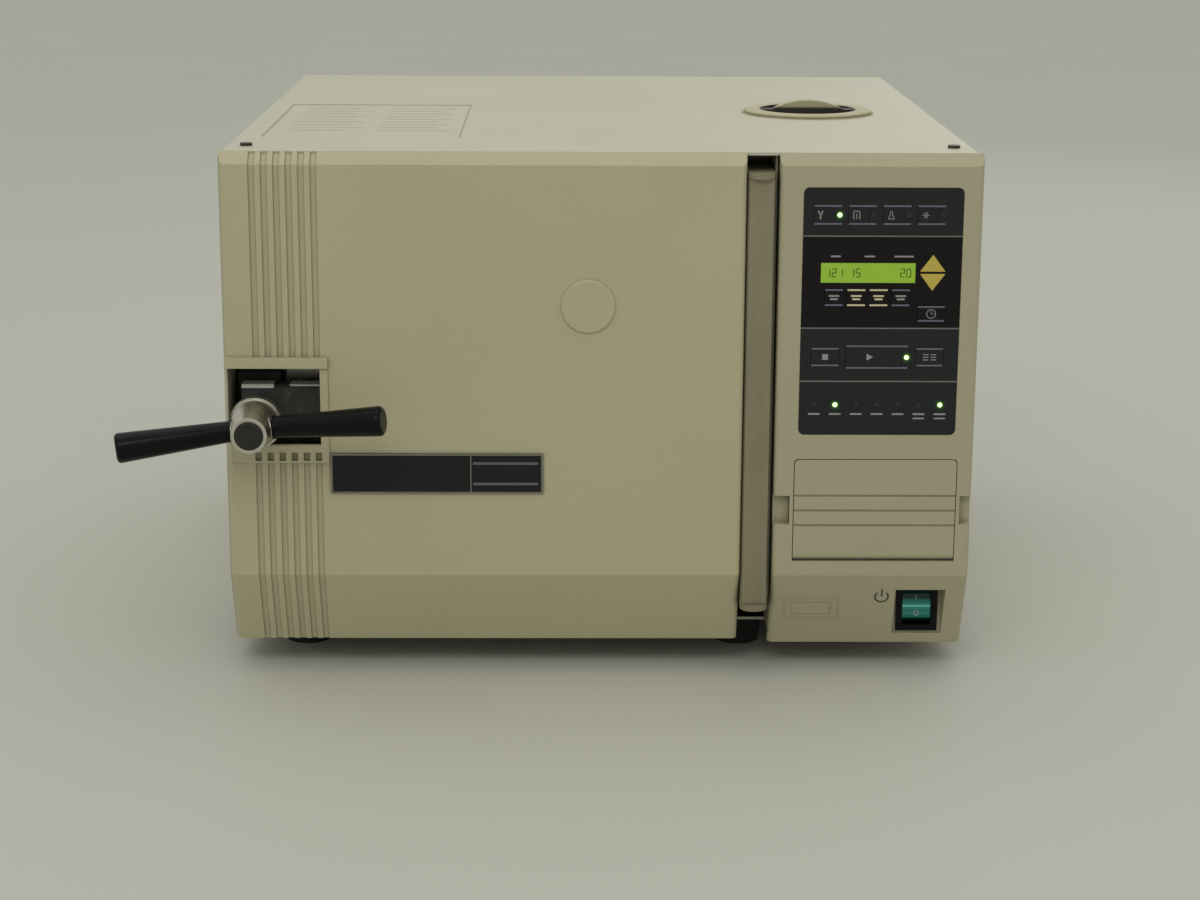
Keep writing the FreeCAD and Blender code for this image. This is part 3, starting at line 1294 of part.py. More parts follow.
def door_lid():
    """Dished pressure lid with a seal groove, a boss and the stud that holds it to the bridge."""
    piece = Piece("door_lid")
    rear = d.mouth_y - d.lid_gap
    groove = rear - d.gasket_depth
    dish_back = d.lid_dish + d.lid_wall
    section = [
        (0, bridge_back - d.stud_in), (d.stud_r, bridge_back - d.stud_in),
        (d.stud_r, bridge_back), (d.lid_boss_r, bridge_back), (d.lid_boss_r, d.lid_dish),
        (d.lid_dish_r * 0.7, d.lid_dish), (d.lid_dish_r, d.lid_front), (d.lid_r, d.lid_front),
        (d.lid_r, rear), (d.gasket_out, rear), (d.gasket_out, groove), (d.gasket_in, groove),
        (d.gasket_in, rear), (d.lid_dish_r, rear), (d.lid_dish_r * 0.7, dish_back), (0, dish_back),
    ]
    piece.turn("Y", (d.vessel_x, 0, d.vessel_z), section)
    return piece.body


def door_gasket():
    """Silicone seal ring in the lid's groove."""
    piece = Piece("door_gasket")
    play = d.gasket_play
    front = d.mouth_y - d.lid_gap - d.gasket_depth
    seal = [
        (d.gasket_in + play, front), (d.gasket_out - play, front),
        (d.gasket_out - play, d.mouth_y - play), (d.gasket_in + play, d.mouth_y - play),
    ]
    piece.turn("Y", (d.vessel_x, 0, d.vessel_z), seal)
    return piece.body


def hinge_post():
    """Round upright with a flat front that turns on the hinge pins and carries the bridge."""
    piece = Piece("hinge_post")
    height = d.post_high - d.post_low
    piece.cylinder("Z", (d.hinge_x, d.hinge_y, d.post_low), d.post_r, height)
    piece.box((d.post_web_left, d.post_web_right), (d.hinge_y, bridge_back),
              (d.post_web_low, d.post_web_high))
    piece.box((d.hinge_x - d.post_r * 2, d.hinge_x + d.post_r * 2),
              (d.hinge_y - d.post_r * 2, d.hinge_y - d.post_flat),
              (d.post_low - d.overcut, d.post_high + d.overcut), cut=True)
    bore = d.pin_r + d.pin_play
    for base in (d.post_low - d.overcut, d.post_high + d.overcut - d.pin_depth):
        piece.cylinder("Z", (d.hinge_x, d.hinge_y, base), bore, d.pin_depth, cut=True)
    return piece.body


def hinge_levels():
    """The underside of the lower and of the upper hinge bracket."""
    return [d.post_low - d.bracket_gap - d.hinge_plate_t, d.post_high + d.bracket_gap]


def hinge_brackets():
    """Two like plates that stand out from the bulkhead and hold the hinge pins."""
    group = []
    for low in hinge_levels():
        piece = Piece("hinge_bracket")
        piece.cylinder("Z", (d.hinge_x, d.hinge_y, low), d.post_r, d.hinge_plate_t)
        piece.box((d.bracket_left, d.bracket_right), (d.hinge_y, d.bulkhead_y),
                  (low, low + d.hinge_plate_t))
        piece.cylinder("Z", (d.hinge_x, d.hinge_y, low - d.overcut), d.pin_r + d.hub_play,
                       d.hinge_plate_t + d.overcut * 2, cut=True)
        group.append(piece.body)
    return compound("hinge_brackets", group)


def hinge_pins():
    """Two like pins, one through each bracket into the post."""
    group = []
    lower, upper = hinge_levels()
    for base in (lower, upper + d.hinge_plate_t - d.pin_l):
        pin = doc.addObject("Part::Cylinder", "hinge_pin")
        pin.setExpression("Radius", d.pin_r.text)
        pin.setExpression("Height", d.pin_l.text)
        place(pin, "Placement", (d.hinge_x, d.hinge_y, base))
        group.append(pin)
    return compound("hinge_pins", group)


def nameplate():
    """Blank plate in two fields inside a thin rim."""
    piece = Piece("nameplate")
    piece.box((d.plate_left, d.plate_right), (-d.plate_t, 0), (d.plate_low, d.plate_high))
    rim = d.plate_rim
    fields = []
    for x0, x1 in ((d.plate_left + rim, d.plate_break - d.plate_gap / 2),
                   (d.plate_break + d.plate_gap / 2, d.plate_right - rim)):
        fields.append(rectangle(x0, x1, d.plate_low + rim, d.plate_high - rim))
    piece.prism("XZ", fields, -d.plate_t - d.overcut, -d.plate_t + d.plate_sink, cut=True)
    return piece.body


def cover_plug():
    """Round snap-in plug on the door's face."""
    piece = Piece("cover_plug")
    section = [
        (0, -d.plug_proud), (d.plug_r - d.plug_proud, -d.plug_proud), Arc(d.plug_proud),
        (d.plug_r, 0), (d.plug_peg_r, 0), (d.plug_peg_r, d.plug_peg_l), (0, d.plug_peg_l),
    ]
    piece.turn("Y", (d.plug_x, 0, d.plug_z), section)
    return piece.body


# ---------------------------------------------------------------- closing screw


def draw_screw():
    """Closing screw with a tapered tip and the ring that keeps it in the bridge."""
    piece = Piece("draw_screw")
    section = [
        (0, d.screw_root), (d.screw_r, d.screw_root), (d.screw_r, d.ring_front),
        (d.ring_out_r, d.ring_front), (d.ring_out_r, d.ring_back), (d.screw_r, d.ring_back),
        (d.screw_r, d.screw_tip - d.screw_taper), (d.screw_tip_r, d.screw_tip), (0, d.screw_tip),
    ]
    piece.turn("Y", (d.screw_x, 0, d.screw_z), section)
    return piece.body


def thrust_collar():
    """Sleeve that presses on the bridge when the handle is screwed in."""
    piece = Piece("thrust_collar")
    bore = d.screw_r + d.running_gap
    front = d.hub_rear + d.running_gap
    section = [
        (bore, front), (d.collar_out_r, front), (d.collar_out_r, d.collar_back),
        (bore, d.collar_back),
    ]
    piece.turn("Y", (d.screw_x, 0, d.screw_z), section)
    return piece.body


def arm_turn(side):
    """How an arm of the tee stands: turned to its side, tilted, and swept towards the user."""
    across = Rotation(Vector(0, 1, 0), 90 - d.arm_tilt.value + side)
    return across.multiply(Rotation(Vector(1, 0, 0), d.arm_sweep.value))


def tee_hub():
    """Steel hub of the tee handle, with two side bosses for the grips."""
    piece = Piece("tee_hub")
    bore = d.screw_r + d.hub_play
    cap = d.hub_cap_r + d.hub_play
    rim = d.hub_rear - d.hub_rim_t
    section = [
        (bore, d.hub_rear), (bore, d.screw_root - d.hub_play), (0, d.screw_root - d.hub_play),
        (0, d.hub_front + d.hub_cap_depth), (cap, d.hub_front + d.hub_cap_depth),
        (cap, d.hub_front), (d.hub_front_r, d.hub_front), (d.hub_neck_r, rim),
        (d.hub_rim_r, rim), (d.hub_rim_r, d.hub_rear),
    ]
    piece.turn("Y", (d.screw_x, 0, d.screw_z), section)
    for side in (0, 180):
        boss = piece.feature("AdditiveCylinder", Radius=d.arm_boss_r,
                             Height=d.arm_boss - d.hub_front_r + d.overcut)
        turned = arm_turn(side)
        out = turned.multVec(Vector(0, 0, 1))
        start = d.hub_front_r - d.overcut
        place(boss, "Placement", (d.screw_x + start * out.x, d.arm_y + start * out.y,
                                  d.screw_z + start * out.z), turned)
    return piece.body


def tee_grip(side):
    """One tapered black grip, turned about the tee's arm."""
    piece = Piece("tee_grip")
    r = d.grip_round
    section = [
        (0, d.grip_start), (d.grip_inner_r, d.grip_start),
        (d.grip_outer_r, d.grip_reach - r), Arc(r), (d.grip_outer_r - r, d.grip_reach),
        (0, d.grip_reach),
    ]
    piece.turn("Z", (0, 0, 0), section)
    place(piece.body, "Placement", (d.screw_x, d.arm_y, d.screw_z), arm_turn(side))
    return piece.body


def tee_grips():
    """The two like grips of the tee handle."""
    return compound("tee_grips", [tee_grip(0), tee_grip(180)])


def hub_cap():
    """Black cap in the hub's front."""
    piece = Piece("hub_cap")
    proud = d.hub_cap_proud
    section = [
        (0, d.hub_front - proud), (d.hub_cap_r - proud, d.hub_front - proud), Arc(proud),
        (d.hub_cap_r, d.hub_front), (d.hub_cap_r, d.hub_front + d.hub_cap_depth - d.hub_play),
        (0, d.hub_front + d.hub_cap_depth - d.hub_play),
    ]
    piece.turn("Y", (d.screw_x, 0, d.screw_z), section)
    return piece.body


def keeper_block():
    """Block on the bulkhead that the closing screw enters, with a flared mouth."""
    piece = Piece("keeper_block")
    piece.box((d.keeper_left, d.keeper_right), (d.keeper_front, d.bulkhead_y),
              (d.screw_z - d.keeper_half, d.screw_z + d.keeper_half))
    front = d.keeper_front
    bore = [
        (0, front - d.overcut), (d.keeper_flare_r, front - d.overcut), (d.keeper_flare_r, front),
        (d.keeper_bore, front + d.keeper_flare), (d.keeper_bore, front + d.keeper_depth),
        (0, front + d.keeper_depth),
    ]
    piece.turn("Y", (d.screw_x, 0, d.screw_z), bore, cut=True)
    piece.cylinder("Y", (d.vessel_x, d.mouth_y - d.keeper_relief, d.vessel_z),
                   d.flange_r + d.keeper_relief, d.bulkhead_y - d.mouth_y + d.overcut * 2,
                   cut=True)
    return piece.body


# ---------------------------------------------------------------- the whole machine


def build():
    """Make every sub-part, in the order that they are listed in the parts folder."""
    made = [
        outer_casing(), base_chassis(), rear_panel(), front_frame(), feet(), casing_screws(),
        chamber(), insulation_jacket(), heating_element(), tray_rack(),
        tray("tray_lower", 0), tray("tray_middle", 1), tray("tray_upper", 2),
        reservoir_tank(), filler_collar(), reservoir_cap(),
        safety_valve(), valve_ring(), solenoid_valves(), pipework(),
        power_board(), power_inlet(),
        panel_housing(), membrane_overlay(), display_module(), indicator_leds(), control_board(),
        printer_bay(), bay_flap(), switch_bezel(), switch_rocker(),
        door_cover(), door_bridge(), door_lid(), door_gasket(), hinge_post(), hinge_brackets(),
        hinge_pins(), nameplate(), cover_plug(),
        draw_screw(), thrust_collar(), tee_hub(), tee_grips(), hub_cap(), keeper_block(),
    ]
    return made + panel_keys()


def machine_centre():
    """The middle of the machine's outline on the bench, in the drawing's own axes."""
    tilt, sweep = math.radians(d.arm_tilt.value), math.radians(d.arm_sweep.value)
    flat = d.grip_outer_r.value - d.grip_round.value
    reach = d.grip_reach.value - d.grip_round.value
    sideways = math.cos(tilt) * math.cos(sweep)
    left = (d.screw_x.value - reach * sideways - flat * math.sqrt(1 - sideways ** 2)
            - d.grip_round.value)
    front = (d.arm_y.value - reach * math.sin(sweep) - flat * math.cos(sweep)
             - d.grip_round.value)
    right, back = half_w.value, d.casing_d.value
    return Vector((left + right + d.screw_head_t.value) / 2, (front + back) / 2, 0)


def check(obj):
    """Stop if an object failed, or a sub-part's shape is empty or broken."""
    bad = {"Invalid", "Error"} & set(obj.State)
    if bad:
        raise RuntimeError(f"{obj.Label}: {sorted(bad)}")


def main():
    """Build, place, check and write the sub-parts."""
    parts = build()
    doc.recompute()
    for obj in doc.Objects:
        check(obj)
    shift = Placement(-machine_centre(), Rotation())
    os.makedirs("parts", exist_ok=True)
    for part in parts:
        part.Placement = shift.multiply(part.Placement)
    doc.recompute()
    for part in parts:
        check(part)
        if part.Shape.isNull() or not part.Shape.isValid() or not part.Shape.Solids:
            raise RuntimeError(f"{part.Label} has no valid solid")
        part.Shape.exportStep(os.path.join("parts", f"{part.Label}.step"))
        print(part.Label, len(part.Shape.Solids), round(part.Shape.Volume))


main()
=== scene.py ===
import json
import math

import bmesh
import bpy
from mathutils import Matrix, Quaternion, Vector


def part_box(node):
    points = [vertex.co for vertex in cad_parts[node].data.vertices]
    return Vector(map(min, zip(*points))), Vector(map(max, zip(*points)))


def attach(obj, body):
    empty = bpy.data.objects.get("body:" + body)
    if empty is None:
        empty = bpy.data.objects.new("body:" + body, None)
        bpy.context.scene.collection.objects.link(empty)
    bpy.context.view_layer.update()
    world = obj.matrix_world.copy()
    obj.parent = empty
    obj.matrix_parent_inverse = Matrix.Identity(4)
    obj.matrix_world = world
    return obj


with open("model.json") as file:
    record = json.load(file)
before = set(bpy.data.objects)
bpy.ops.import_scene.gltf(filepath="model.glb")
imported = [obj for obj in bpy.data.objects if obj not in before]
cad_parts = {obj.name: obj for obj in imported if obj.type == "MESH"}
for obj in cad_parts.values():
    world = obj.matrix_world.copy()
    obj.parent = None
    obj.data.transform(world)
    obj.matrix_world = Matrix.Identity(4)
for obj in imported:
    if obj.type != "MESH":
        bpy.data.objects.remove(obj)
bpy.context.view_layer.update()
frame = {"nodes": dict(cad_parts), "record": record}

# The looks of a benchtop steam autoclave.  The shapes come with the frame; this script gives each
# of them its finish and adds what is printed, embossed or drawn on them.  Lengths are written in
# millimetres from the middle of the casing (X), the front face (Y) and the bench (Z).

MM = 0.001
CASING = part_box("outer_casing")
MIDDLE_X = (CASING[0].x + CASING[1].x) / 2
FRONT_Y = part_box("panel_housing")[0].y

CREASE_Z = 74
SLOPE_RUN = 23.6
SLOPE_FALL = 53.4
BRIDGE_TOP = 204
BRIDGE_BACK = 40
# Where the bridge's milled top edges are painted near-white as a highlight, and how far down.
MILLED_HIGHLIGHT_BY_HUB, MILLED_HIGHLIGHT_BY_HUB_DEPTH = -223, 2.2
MILLED_HIGHLIGHT_BESIDE, MILLED_HIGHLIGHT_BESIDE_DEPTH = -212, 1.1
CAP_HUMP, CAP_DISH = 6.9, 36.7
ROCKER_FACE, ROCKER_CREASE, ROCKER_FLARE, ROCKER_DROP = 21.5, 1.4, 4.6, 15
HUB_NOSE, HUB_NECK, HUB_LENGTH, HUB_PLAY = 12, 16.4, 36.5, 0.3
SOCKETS_BACK = -18
ARC_STEPS = 6
PRINT_PROUD = 0.04
PRINT_DEPTH = 0.08


def at(x, y, z):
    """A point of the frame, in metres, from millimetres about the casing."""
    return Vector((MIDDLE_X + x * MM, FRONT_Y + y * MM, z * MM))


def span(node, inset=0.0):
    """A node's (left, right, low, high) as seen from the front, in millimetres about the casing."""
    low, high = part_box(node)
    left, right = ((corner.x - MIDDLE_X) / MM for corner in (low, high))
    return left + inset, right - inset, low.z / MM + inset, high.z / MM - inset


def front_of(node):
    """How far a node's front face lies behind the casing's front plane, in millimetres."""
    return (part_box(node)[0].y - FRONT_Y) / MM


# ---------------------------------------------------------------- shader building


class Finish:
    """A node material on a principled shader, with short helpers for its detail."""

    def __init__(self, name, colour, roughness, metallic=0.0, **inputs):
        self.material = bpy.data.materials.new(name)
        self.material.use_nodes = True
        self.tree = self.material.node_tree
        self.shader = self.tree.nodes["Principled BSDF"]
        self.place = self.tree.nodes.new("ShaderNodeTexCoord").outputs["Object"]
        self.colour = (*colour, 1.0)
        self.set("Base Color", self.colour)
        self.set("Roughness", roughness)
        self.set("Metallic", metallic)
        for key, value in inputs.items():
            self.set(key.replace("_", " "), value)
        self.bumps = None

    def node(self, kind, **settings):
        made = self.tree.nodes.new("ShaderNode" + kind)
        for key, value in settings.items():
            setattr(made, key, value)
        return made

    def feed(self, socket, value):
        """Link an output to a socket, or set the socket to a plain value."""
        if isinstance(value, bpy.types.NodeSocket):
            self.tree.links.new(value, socket)
        else:
            socket.default_value = value

    def set(self, name, value):
        self.feed(self.shader.inputs[name], value)

    def math(self, operation, first, second=0.0):
        made = self.node("Math", operation=operation)
        for socket, value in zip(made.inputs, (first, second)):
            self.feed(socket, value)
        return made.outputs[0]

    def axis(self, name):
        """One coordinate of the piece's own frame, in metres."""
        return self.split(self.place).outputs[name]

    def split(self, vector):
        made = self.node("SeparateXYZ")
        self.feed(made.inputs[0], vector)
        return made

    def stretched(self, scale):
        """The piece's coordinates, scaled along each axis."""
        made = self.node("Mapping")
        self.feed(made.inputs["Vector"], self.place)
        made.inputs["Scale"].default_value = scale
        return made.outputs[0]

    def away(self, place, axes):
        """The distance from a place, in metres, along the chosen axes only."""
        flat = self.node("VectorMath", operation="MULTIPLY")
        self.feed(flat.inputs[0], self.place)
        flat.inputs[1].default_value = axes
        made = self.node("VectorMath", operation="DISTANCE")
        self.feed(made.inputs[0], flat.outputs[0])
        made.inputs[1].default_value = Vector(place) * Vector(axes)
        return made.outputs["Value"]

    def noise(self, scale, detail=2.0, stretch=None, roughness=0.5):
        made = self.node("TexNoise")
        self.feed(made.inputs["Vector"], self.stretched(stretch) if stretch else self.place)
        made.inputs["Scale"].default_value = scale
        made.inputs["Detail"].default_value = detail
        made.inputs["Roughness"].default_value = roughness
        return made.outputs["Fac"]

    def cells(self, scale, output="Distance", stretch=None):
        made = self.node("TexVoronoi")
        self.feed(made.inputs["Vector"], self.stretched(stretch) if stretch else self.place)
        made.inputs["Scale"].default_value = scale
        return made.outputs[output]

    def remap(self, value, low, high, to_low=0.0, to_high=1.0):
        made = self.node("MapRange")
        for socket, number in zip(made.inputs, (value, low, high, to_low, to_high)):
            self.feed(socket, number)
        return made.outputs[0]

    def mix(self, factor, first, second):
        made = self.node("Mix", data_type="RGBA")
        self.feed(made.inputs["Factor"], factor)
        self.feed(made.inputs[6], first if not isinstance(first, tuple) else (*first[:3], 1.0))
        self.feed(made.inputs[7], second if not isinstance(second, tuple) else (*second[:3], 1.0))
        return made.outputs[2]

    def shade(self, factor):
        """The finish's own colour, made darker or lighter by a factor."""
        return tuple(min(channel * factor, 1.0) for channel in self.colour[:3])

    def bump(self, height, strength, depth):
        """Add one more layer of relief; depth is in millimetres."""
        made = self.node("Bump")
        made.inputs["Strength"].default_value = strength
        made.inputs["Distance"].default_value = depth * MM
        self.feed(made.inputs["Height"], height)
        if self.bumps is not None:
            self.feed(made.inputs["Normal"], self.bumps)
        self.bumps = made.outputs[0]
        self.set("Normal", self.bumps)

    def soft_edges(self, radius):
        """Let sharp edges catch the light as if they were rounded; radius in millimetres."""
        made = self.node("Bevel")
        made.samples = 4
        made.inputs["Radius"].default_value = radius * MM
        self.bumps = made.outputs[0]
        self.set("Normal", self.bumps)

    def hollows(self, distance):
        """How open a spot is: 1 in the open and 0 deep in a corner."""
        made = self.node("AmbientOcclusion")
        made.samples = 6
        made.inputs["Distance"].default_value = distance * MM
        return made.outputs["AO"]


# ---------------------------------------------------------------- materials


def moulding(name="ivory_moulding", colour=(0.500, 0.462, 0.300), dish=False):
    """Spark-textured moulding, yellowed a little, with dust and painted shade darkening its
    corners.

    With a dish, the reservoir cap's hollow and the foot of its bar are darkened as painted shade.
    """
    finish = Finish(name, colour, 0.5, Specular_IOR_Level=0.38)
    finish.soft_edges(0.5)
    cloud = finish.noise(9, 3)
    aged = finish.mix(finish.remap(cloud, 0.35, 0.7), finish.shade(0.97), finish.shade(1.03))
    speck = finish.remap(finish.noise(900, 2), 0.4, 0.62)
    speckled = finish.mix(speck, aged, finish.shade(1.05))
    # Dust and painted shade: the occlusion mask darkens the colour in corners and hollows.
    dust_and_shade = finish.remap(finish.hollows(7), 0.35, 0.85, 1.0, 0.0)
    soiled_and_shaded = finish.math("MULTIPLY", dust_and_shade, 0.55)
    surface = finish.mix(soiled_and_shaded, speckled, (0.17, 0.15, 0.10))
    if dish:
        # Painted shade: inside the dish and below the rim, the cap's colour goes to near black.
        low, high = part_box("reservoir_cap")
        rim = high.z - CAP_HUMP * MM
        depth = finish.remap(finish.axis("Z"), rim + 0.8 * MM, rim + 2.6 * MM, 1, 0)
        inside = finish.math("LESS_THAN", finish.away((low + high) / 2, (1, 1, 0)),
                             CAP_DISH * MM)
        surface = finish.mix(finish.math("MULTIPLY", depth, inside), surface,
                             (0.035, 0.032, 0.024))
    finish.set("Base Color", surface)
    finish.set("Roughness", finish.remap(finish.noise(60, 4), 0.3, 0.7, 0.44, 0.58))
    finish.bump(finish.noise(1500, 3), 0.16, 0.25)
    finish.bump(finish.cells(650), 0.10, 0.2)
    finish.bump(finish.noise(5, 1), 0.12, 1.2)
    return finish.material


def enamel():
    """Baked enamel on folded sheet, with a fine orange-peel surface and a few rub marks."""
    finish = Finish("casing_enamel", (0.560, 0.545, 0.415), 0.42, Specular_IOR_Level=0.5,
                    Coat_Weight=0.12, Coat_Roughness=0.35)
    finish.soft_edges(0.6)
    cloud = finish.noise(6, 4)
    toned = finish.mix(finish.remap(cloud, 0.3, 0.7), finish.shade(0.965), finish.shade(1.035))
    rubs = finish.noise(26, 6, stretch=(1, 7, 3), roughness=0.7)
    rubbed = finish.mix(finish.remap(rubs, 0.62, 0.74, 0, 0.35), toned, finish.shade(1.12))
    # Dust and painted shade: the occlusion mask darkens the enamel in corners and folds.
    dust_and_shade = finish.remap(finish.hollows(6), 0.3, 0.8, 0.5, 0.0)
    finish.set("Base Color", finish.mix(dust_and_shade, rubbed, (0.17, 0.155, 0.11)))
    finish.set("Roughness", finish.remap(rubs, 0.4, 0.75, 0.38, 0.52))
    finish.bump(finish.noise(420, 2), 0.22, 0.22)
    finish.bump(finish.noise(1900, 2), 0.10, 0.1)
    finish.bump(finish.noise(4, 1), 0.10, 1.5)
    return finish.material


def shaded_post_enamel():
    """Enamel of the hinge post, darkened as painted shade, rubbed along its edges."""
    # Painted shade: the post's enamel is set much darker than the casing's.
    finish = Finish("shaded_post_enamel", (0.265, 0.237, 0.152), 0.45, Specular_IOR_Level=0.4)
    finish.soft_edges(0.5)
    rubs = finish.noise(30, 5, stretch=(1, 1, 0.2), roughness=0.7)
    finish.set("Base Color", finish.mix(finish.remap(rubs, 0.35, 0.7), finish.shade(0.9),
                                        finish.shade(1.12)))
    finish.set("Roughness", finish.remap(rubs, 0.4, 0.75, 0.4, 0.54))
    finish.bump(finish.noise(420, 2), 0.2, 0.2)
    return finish.material


def screw_black():
    """Blackened steel of the casing's small screws."""
    finish = Finish("screw_black", (0.055, 0.052, 0.045), 0.42, metallic=0.8)
    finish.soft_edges(0.2)
    wear = finish.remap(finish.noise(400, 5, roughness=0.7), 0.55, 0.72)
    finish.set("Base Color", finish.mix(wear, finish.colour, finish.shade(2.6)))
    finish.bump(finish.noise(900, 3), 0.15, 0.08)
    return finish.material


def zinc_sheet():
    """Zinc-plated sheet with its spangle and rolling marks."""
    finish = Finish("zinc_sheet", (0.50, 0.49, 0.44), 0.42, metallic=0.85)
    finish.soft_edges(0.3)
    spangle = finish.cells(75, "Color")
    tone = finish.split(spangle).outputs["X"]
    plated = finish.mix(finish.remap(tone, 0, 1, 0.1, 0.9), finish.shade(0.84), finish.shade(1.1))
    # Grime and painted shade: the occlusion mask darkens the sheet in corners and between parts.
    grime_and_shade = finish.remap(finish.hollows(14), 0.3, 0.9, 0.75, 0.0)
    finish.set("Base Color", finish.mix(grime_and_shade, plated, (0.13, 0.12, 0.095)))
    finish.set("Roughness", finish.remap(tone, 0, 1, 0.34, 0.52))
    finish.bump(finish.noise(300, 3, stretch=(1, 1, 0.08)), 0.12, 0.1)
    return finish.material


def vessel_steel():
    """Steel brushed across the vessel, with stains, and grime and painted shade darkening its
    corners.
    """
    roughness, grime_and_shade = 0.26, 0.4
    finish = Finish("vessel_steel", (0.60, 0.59, 0.55), roughness, metallic=1.0)
    finish.soft_edges(0.35)
    lines = finish.noise(1300, 3, stretch=(1, 0.06, 1), roughness=0.55)
    stains = finish.remap(finish.noise(18, 4), 0.45, 0.75, 0, 0.22)
    base = finish.mix(finish.remap(lines, 0.3, 0.7), finish.shade(0.86), finish.shade(1.07))
    stained = finish.mix(stains, base, finish.shade(0.72))
    # Grime and painted shade: the occlusion mask darkens the steel in corners and recesses.
    dirt_and_shade = finish.remap(finish.hollows(8), 0.3, 0.85, grime_and_shade, 0.0)
    finish.set("Base Color", finish.mix(dirt_and_shade, stained, (0.10, 0.095, 0.085)))
    finish.set("Roughness", finish.remap(lines, 0.3, 0.7, roughness * 0.75, roughness * 1.35))
    finish.bump(lines, 0.06, 0.04)
    return finish.material


def turned_steel(name="turned_steel", sockets=False):
    """Satin-chromed turned parts, with fine rings about the screw's axis.

    With sockets, what stands out of the hub's cone to hold the grips is black.
    """
    finish = Finish(name, (0.60, 0.585, 0.51), 0.3, metallic=1.0)
    finish.soft_edges(0.45)
    lines = finish.noise(700, 4, stretch=(0.12, 1.6, 0.12), roughness=0.6)
    pitted = finish.remap(finish.noise(160, 5), 0.56, 0.72, 0, 0.4)
    base = finish.mix(finish.remap(lines, 0.3, 0.7), finish.shade(0.88), finish.shade(1.08))
    steel = finish.mix(pitted, base, finish.shade(0.6))
    if sockets:
        socket = finish.math("MULTIPLY", outside_cone(finish),
                             finish.math("LESS_THAN", finish.axis("Y"), at(0, SOCKETS_BACK, 0).y))
        steel = finish.mix(socket, steel, (0.006, 0.006, 0.007))
        finish.set("Metallic", finish.math("SUBTRACT", 1.0, socket))
    finish.set("Base Color", steel)
    finish.set("Roughness", finish.remap(lines, 0.3, 0.7, 0.24, 0.42))
    finish.bump(lines, 0.12, 0.08)
    finish.bump(finish.noise(160, 5), 0.08, 0.15)
    return finish.material


def outside_cone(finish):
    """1 where a spot stands out of the hub's cone, which narrows towards the front."""
    low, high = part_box("tee_hub")
    cone = finish.remap(finish.axis("Y"), low.y, low.y + HUB_LENGTH * MM,
                        (HUB_NOSE + HUB_PLAY) * MM, (HUB_NECK + HUB_PLAY) * MM)
    return finish.math("GREATER_THAN", finish.away((low + high) / 2, (1, 0, 1)), cone)


def bridge_iron():
    """Sand-cast iron in dark paint that has worn off along the edges, with its milled top edges
    painted near-white as a painted highlight.
    """
    finish = Finish("bridge_iron", (0.035, 0.035, 0.034), 0.5, metallic=0.1)
    finish.soft_edges(0.6)
    wear = finish.remap(finish.noise(70, 6, roughness=0.7), 0.55, 0.72)
    worn = finish.mix(wear, finish.colour, (0.15, 0.145, 0.135))
    # Painted highlight: the milled top edges over the hub and beside it are coloured near-white.
    height, across = finish.axis("Z"), finish.axis("X")
    over_hub = finish.math(
        "MULTIPLY", finish.math("LESS_THAN", across, at(MILLED_HIGHLIGHT_BY_HUB, 0, 0).x),
        finish.math("GREATER_THAN", height, (BRIDGE_TOP - MILLED_HIGHLIGHT_BY_HUB_DEPTH) * MM))
    beside = finish.math(
        "MULTIPLY", finish.math("GREATER_THAN", across, at(MILLED_HIGHLIGHT_BESIDE, 0, 0).x),
        finish.math("GREATER_THAN", height, (BRIDGE_TOP - MILLED_HIGHLIGHT_BESIDE_DEPTH) * MM))
    ahead = finish.math("LESS_THAN", finish.axis("Y"), at(0, BRIDGE_BACK, 0).y)
    milled_highlight = finish.math("MULTIPLY", ahead, finish.math("MAXIMUM", over_hub, beside))
    finish.set("Base Color", finish.mix(milled_highlight, worn, (0.95, 0.94, 0.86)))
    finish.set("Metallic", finish.math("MULTIPLY", wear, 0.7))
    finish.set("Roughness", finish.remap(wear, 0, 1, 0.55, 0.36))
    finish.bump(finish.noise(240, 5), 0.45, 0.5)
    return finish.material


def gloss_black():
    """Glossy black phenolic moulding with hairline handling marks."""
    roughness = 0.16
    finish = Finish("black_moulding", (0.0030, 0.0030, 0.0040), roughness,
                    Specular_IOR_Level=0.16)
    finish.soft_edges(0.5)
    marks = finish.noise(220, 8, stretch=(0.5, 1, 2.4), roughness=0.75)
    worn = finish.remap(marks, 0.58, 0.76)
    finish.set("Base Color", finish.mix(worn, finish.colour, (0.008, 0.008, 0.009)))
    finish.set("Roughness", finish.remap(worn, 0, 1, roughness, roughness + 0.22))
    finish.bump(finish.noise(26, 2), 0.05, 0.5)
    finish.bump(marks, 0.06, 0.05)
    return finish.material


def satin_black():
    """Matt black insert in the end of the handle's hub."""
    finish = Finish("satin_black", (0.020, 0.019, 0.016), 0.55, Specular_IOR_Level=0.3)
    finish.soft_edges(0.4)
    grain = finish.noise(900, 3)
    finish.set("Base Color", finish.mix(grain, finish.shade(0.75), finish.shade(1.35)))
    finish.bump(grain, 0.3, 0.15)
    return finish.material


def felt():
    """Pressed mineral felt, its colour darkened as painted shade: short fibres that cross, and a
    soft uneven surface.
    """
    # Painted shade: the felt's base colour is set dark.
    finish = Finish("felt", (0.20, 0.18, 0.145), 0.95, Sheen_Weight=0.05, Specular_IOR_Level=0.1)
    fibres = finish.noise(800, 6, stretch=(1, 0.15, 1), roughness=0.8)
    across = finish.noise(800, 6, stretch=(0.15, 1, 0.6), roughness=0.8)
    pile = finish.math("MAXIMUM", fibres, across)
    finish.set("Base Color", finish.mix(finish.remap(pile, 0.4, 0.8), finish.shade(0.8),
                                        finish.shade(1.1)))
    finish.bump(pile, 0.35, 0.5)
    finish.bump(finish.noise(40, 3), 0.5, 2.5)
    return finish.material


